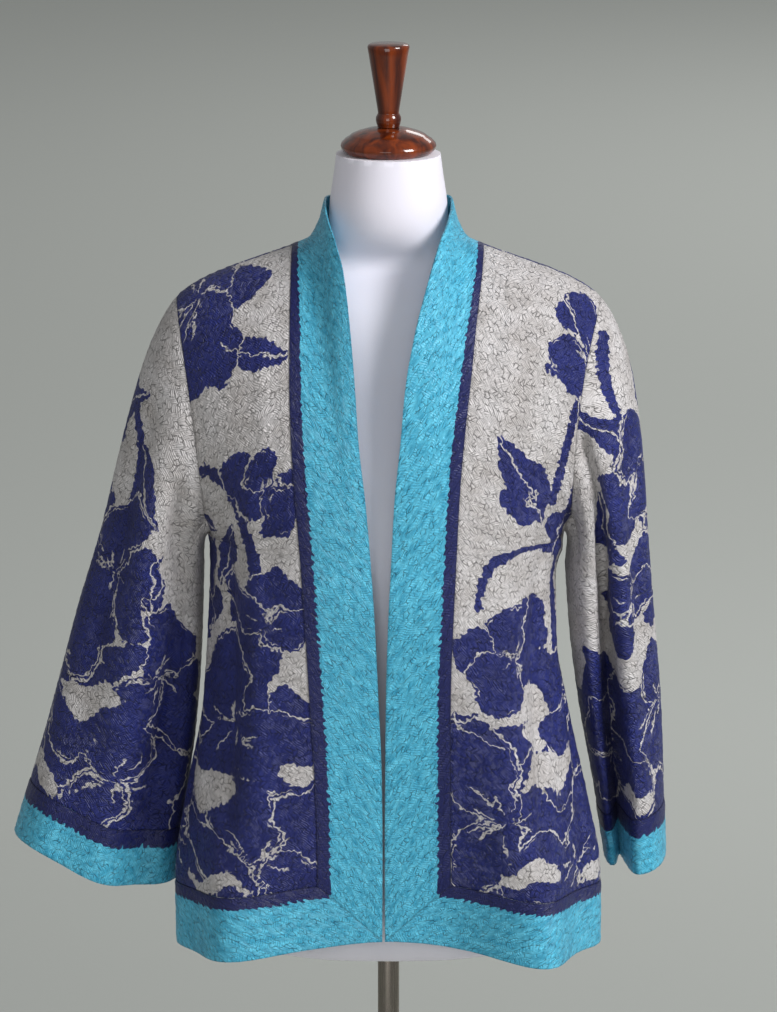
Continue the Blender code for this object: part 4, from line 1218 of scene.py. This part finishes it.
# %% Back and its hem
angle, h = back_grid()
points, normals = on_body(angle, h)
for j in range(top + 1):
    for side, column_at in ((1, 0), (-1, -1)):
        normals[low_count + j, column_at] = rims[side][(top + j) % (2 * top)]
add_panel("back", points, normals, centre=True)
hem_a, hem_h = hem_grid(angle[0], h[0])
points, normals = on_body(hem_a, hem_h)
add_border("hem_back", points, normals, BORDER[:, None], run_length(points[0])[None, :])

# %% [markdown]
# ## The cut of each piece
# Every piece was cut flat. The line printed for each shell as it is built gives the width and length of
# what shows of it, all round on a sleeve or cuff, with its faces and area, in metres and square metres.

# %% [markdown]
# ## The dress form
# The form is a hard shell in a stretch cover of white jersey. The solid's shape is right but has flat
# facets, so a copy of it is merged, its two end faces are creased to stay flat, and a Subdivision Surface
# rounds it. Jersey is matt, with a fine knit that only shows as a faint grain.

# %% Dress form
HARD_SMOOTH = math.radians(40)
QUAD_LIMIT = math.radians(60)
END_FACE_DEPTH = 0.0003
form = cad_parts["dress_form"].copy()
form.data = form.data.copy()
form.parent = None
form.name = "jersey_form"
for key in [key for key in form.keys() if key.startswith("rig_")]:
    del form[key]
bpy.context.scene.collection.objects.link(form)
pick(form)
bpy.ops.object.mode_set(mode="EDIT")
bpy.ops.mesh.select_all(action="SELECT")
bpy.ops.mesh.remove_doubles(threshold=0.00002)
bpy.ops.mesh.tris_convert_to_quads(face_threshold=QUAD_LIMIT, shape_threshold=QUAD_LIMIT)
bpy.ops.mesh.normals_make_consistent(inside=False)
bpy.ops.mesh.select_all(action="DESELECT")
bpy.ops.object.mode_set(mode="OBJECT")
low_z, high_z = (corner[2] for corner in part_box("dress_form"))
for edge in form.data.edges:
    heights = [form.data.vertices[i].co.z for i in edge.vertices]
    edge.select = max(heights) < low_z + END_FACE_DEPTH or min(heights) > high_z - END_FACE_DEPTH
bpy.ops.object.mode_set(mode="EDIT")
bpy.ops.transform.edge_crease(value=1.0)
bpy.ops.object.mode_set(mode="OBJECT")
rounding = form.modifiers.new("Round", "SUBSURF")
rounding.levels = 2
rounding.render_levels = 2
bpy.ops.object.modifier_apply(modifier="Round")
bpy.ops.object.shade_smooth_by_angle(angle=HARD_SMOOTH)
material, tree, shader = new_material("white_stretch_jersey")
place = add_node(tree, "ShaderNodeTexCoord").outputs["Object"]
knit = noise(tree, place, 900.0, 2.0)
cloud = noise(tree, place, 9.0, 2.0)
colour = blend(tree, cloud, "#E2DEEA", "#EFECF5")
tree.links.new(colour, shader.inputs["Base Color"])
bump(tree, shader, knit, 0.15 * MM, 0.5)
set_inputs(shader, Roughness=0.72, Sheen_Weight=0.25)
form.data.materials.clear()
form.data.materials.append(material)
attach(form, "root")
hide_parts("dress_form")
print("form faces:", len(form.data.polygons))

# %% [markdown]
# ## Turned wood and steel
# The neck cap and the finial are turned in cherry, stained and varnished to a gloss, so a spin is the true
# way to make them: the profile is drawn once and swept round the pole's axis. A Bevel eases the few sharp
# corners. The pole and the base are spun in the same way. Cherry shows a deep red-brown under sharp
# highlights, and satin steel a warm grey with soft, streaked ones.


# %% Spin a profile
EASED_EDGE = 0.0004
EASED_ABOVE = math.radians(32)


def spun(name, node, profile, base_z, steps, finish):
    """A turned piece from its profile of (radius, height), from the top down."""
    data = bpy.data.meshes.new(name)
    points = [(radius, 0.0, base_z + height) for radius, height in profile]
    data.from_pydata(points, [(i, i + 1) for i in range(len(points) - 1)], [])
    piece = new_piece(name, data)
    bpy.ops.object.mode_set(mode="EDIT")
    bpy.ops.mesh.select_all(action="SELECT")
    bpy.ops.mesh.spin(steps=steps, angle=2 * math.pi, center=(0, 0, 0), axis=(0, 0, 1))
    bpy.ops.mesh.select_all(action="SELECT")
    bpy.ops.mesh.remove_doubles(threshold=0.00003)
    bpy.ops.mesh.normals_make_consistent(inside=False)
    bpy.ops.object.mode_set(mode="OBJECT")
    eased = piece.modifiers.new("Ease", "BEVEL")
    eased.width = EASED_EDGE
    eased.segments = 2
    eased.angle_limit = EASED_ABOVE
    bpy.ops.object.modifier_apply(modifier="Ease")
    bpy.ops.object.shade_smooth_by_angle(angle=HARD_SMOOTH)
    piece.data.materials.append(bpy.data.materials[finish])
    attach(piece, "root")
    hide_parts(node)
    return piece


# %% Varnished cherry
material, tree, shader = new_material("varnished_cherry")
figure = drawn_out(tree, 0.07, 95.0, 5.0, Distortion=0.6)
figure = remap(tree, figure, 0.35, 0.65)
colour = blend(tree, figure, "#3A1004", "#7E3206")
tree.links.new(colour, shader.inputs["Base Color"])
set_inputs(shader, Roughness=0.3, Specular_IOR_Level=0.1, IOR=1.5)
set_inputs(shader, Coat_Weight=1.0, Coat_Roughness=0.06)

# %% Satin steel
material, tree, shader = new_material("satin_steel")
brushed = drawn_out(tree, 0.02, 900.0, 3.0)
rough = remap(tree, brushed, 0.0, 1.0, 0.2, 0.34)
tint = blend(tree, brushed, "#857C73", "#A8A096")
tree.links.new(tint, shader.inputs["Base Color"])
tree.links.new(rough, shader.inputs["Roughness"])
set_inputs(shader, Metallic=1.0)

# %% Neck cap, finial, pole and base
NECK_TOP_Z = 1.4990
CAP_PROFILE = (
    (0.0, 0.0248), (0.0120, 0.0246), (0.0200, 0.0232), (0.0290, 0.0205), (0.0340, 0.0183), (0.0354, 0.0174),
    (0.0362, 0.0164), (0.0405, 0.0138), (0.0437, 0.0106), (0.0447, 0.0078), (0.0440, 0.0050),
    (0.0415, 0.0020), (0.0395, 0.0003), (0.0, 0.0003),
)
FINIAL_PROFILE = (
    (0.0, 0.1025), (0.0170, 0.1025), (0.0190, 0.1015), (0.0196, 0.0995), (0.0186, 0.0930), (0.0164, 0.0795),
    (0.0142, 0.0660), (0.0120, 0.0520), (0.0104, 0.0420), (0.0098, 0.0378), (0.0104, 0.0370),
    (0.0116, 0.0345), (0.0119, 0.0315), (0.0114, 0.0285), (0.0104, 0.0263), (0.0104, 0.0251), (0.0, 0.0251),
)
BASE_PROFILE = (
    (0.0, 0.008), (0.0107, 0.008), (0.0107, 0.030), (0.0165, 0.030), (0.0180, 0.0285), (0.0185, 0.019),
    (0.0205, 0.0172), (0.0240, 0.0160), (0.0600, 0.0148), (0.0990, 0.0130), (0.1300, 0.0103),
    (0.1610, 0.0070), (0.1640, 0.0055), (0.1650, 0.0030), (0.1650, 0.0008), (0.1642, 0.0), (0.0, 0.0),
)
pole_low, pole_high = (corner[2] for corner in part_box("pole"))
POLE_PROFILE = ((0.0, pole_high), (0.0104, pole_high), (0.0104, pole_low), (0.0, pole_low))
for node, profile, steps in (("neck_cap", CAP_PROFILE, 96), ("finial", FINIAL_PROFILE, 72)):
    piece = spun("cherry_" + node, node, profile, NECK_TOP_Z, steps, "varnished_cherry")
for node, profile, steps in (("base", BASE_PROFILE, 128), ("pole", POLE_PROFILE, 64)):
    piece = spun("steel_" + node, node, profile, 0.0, steps, "satin_steel")
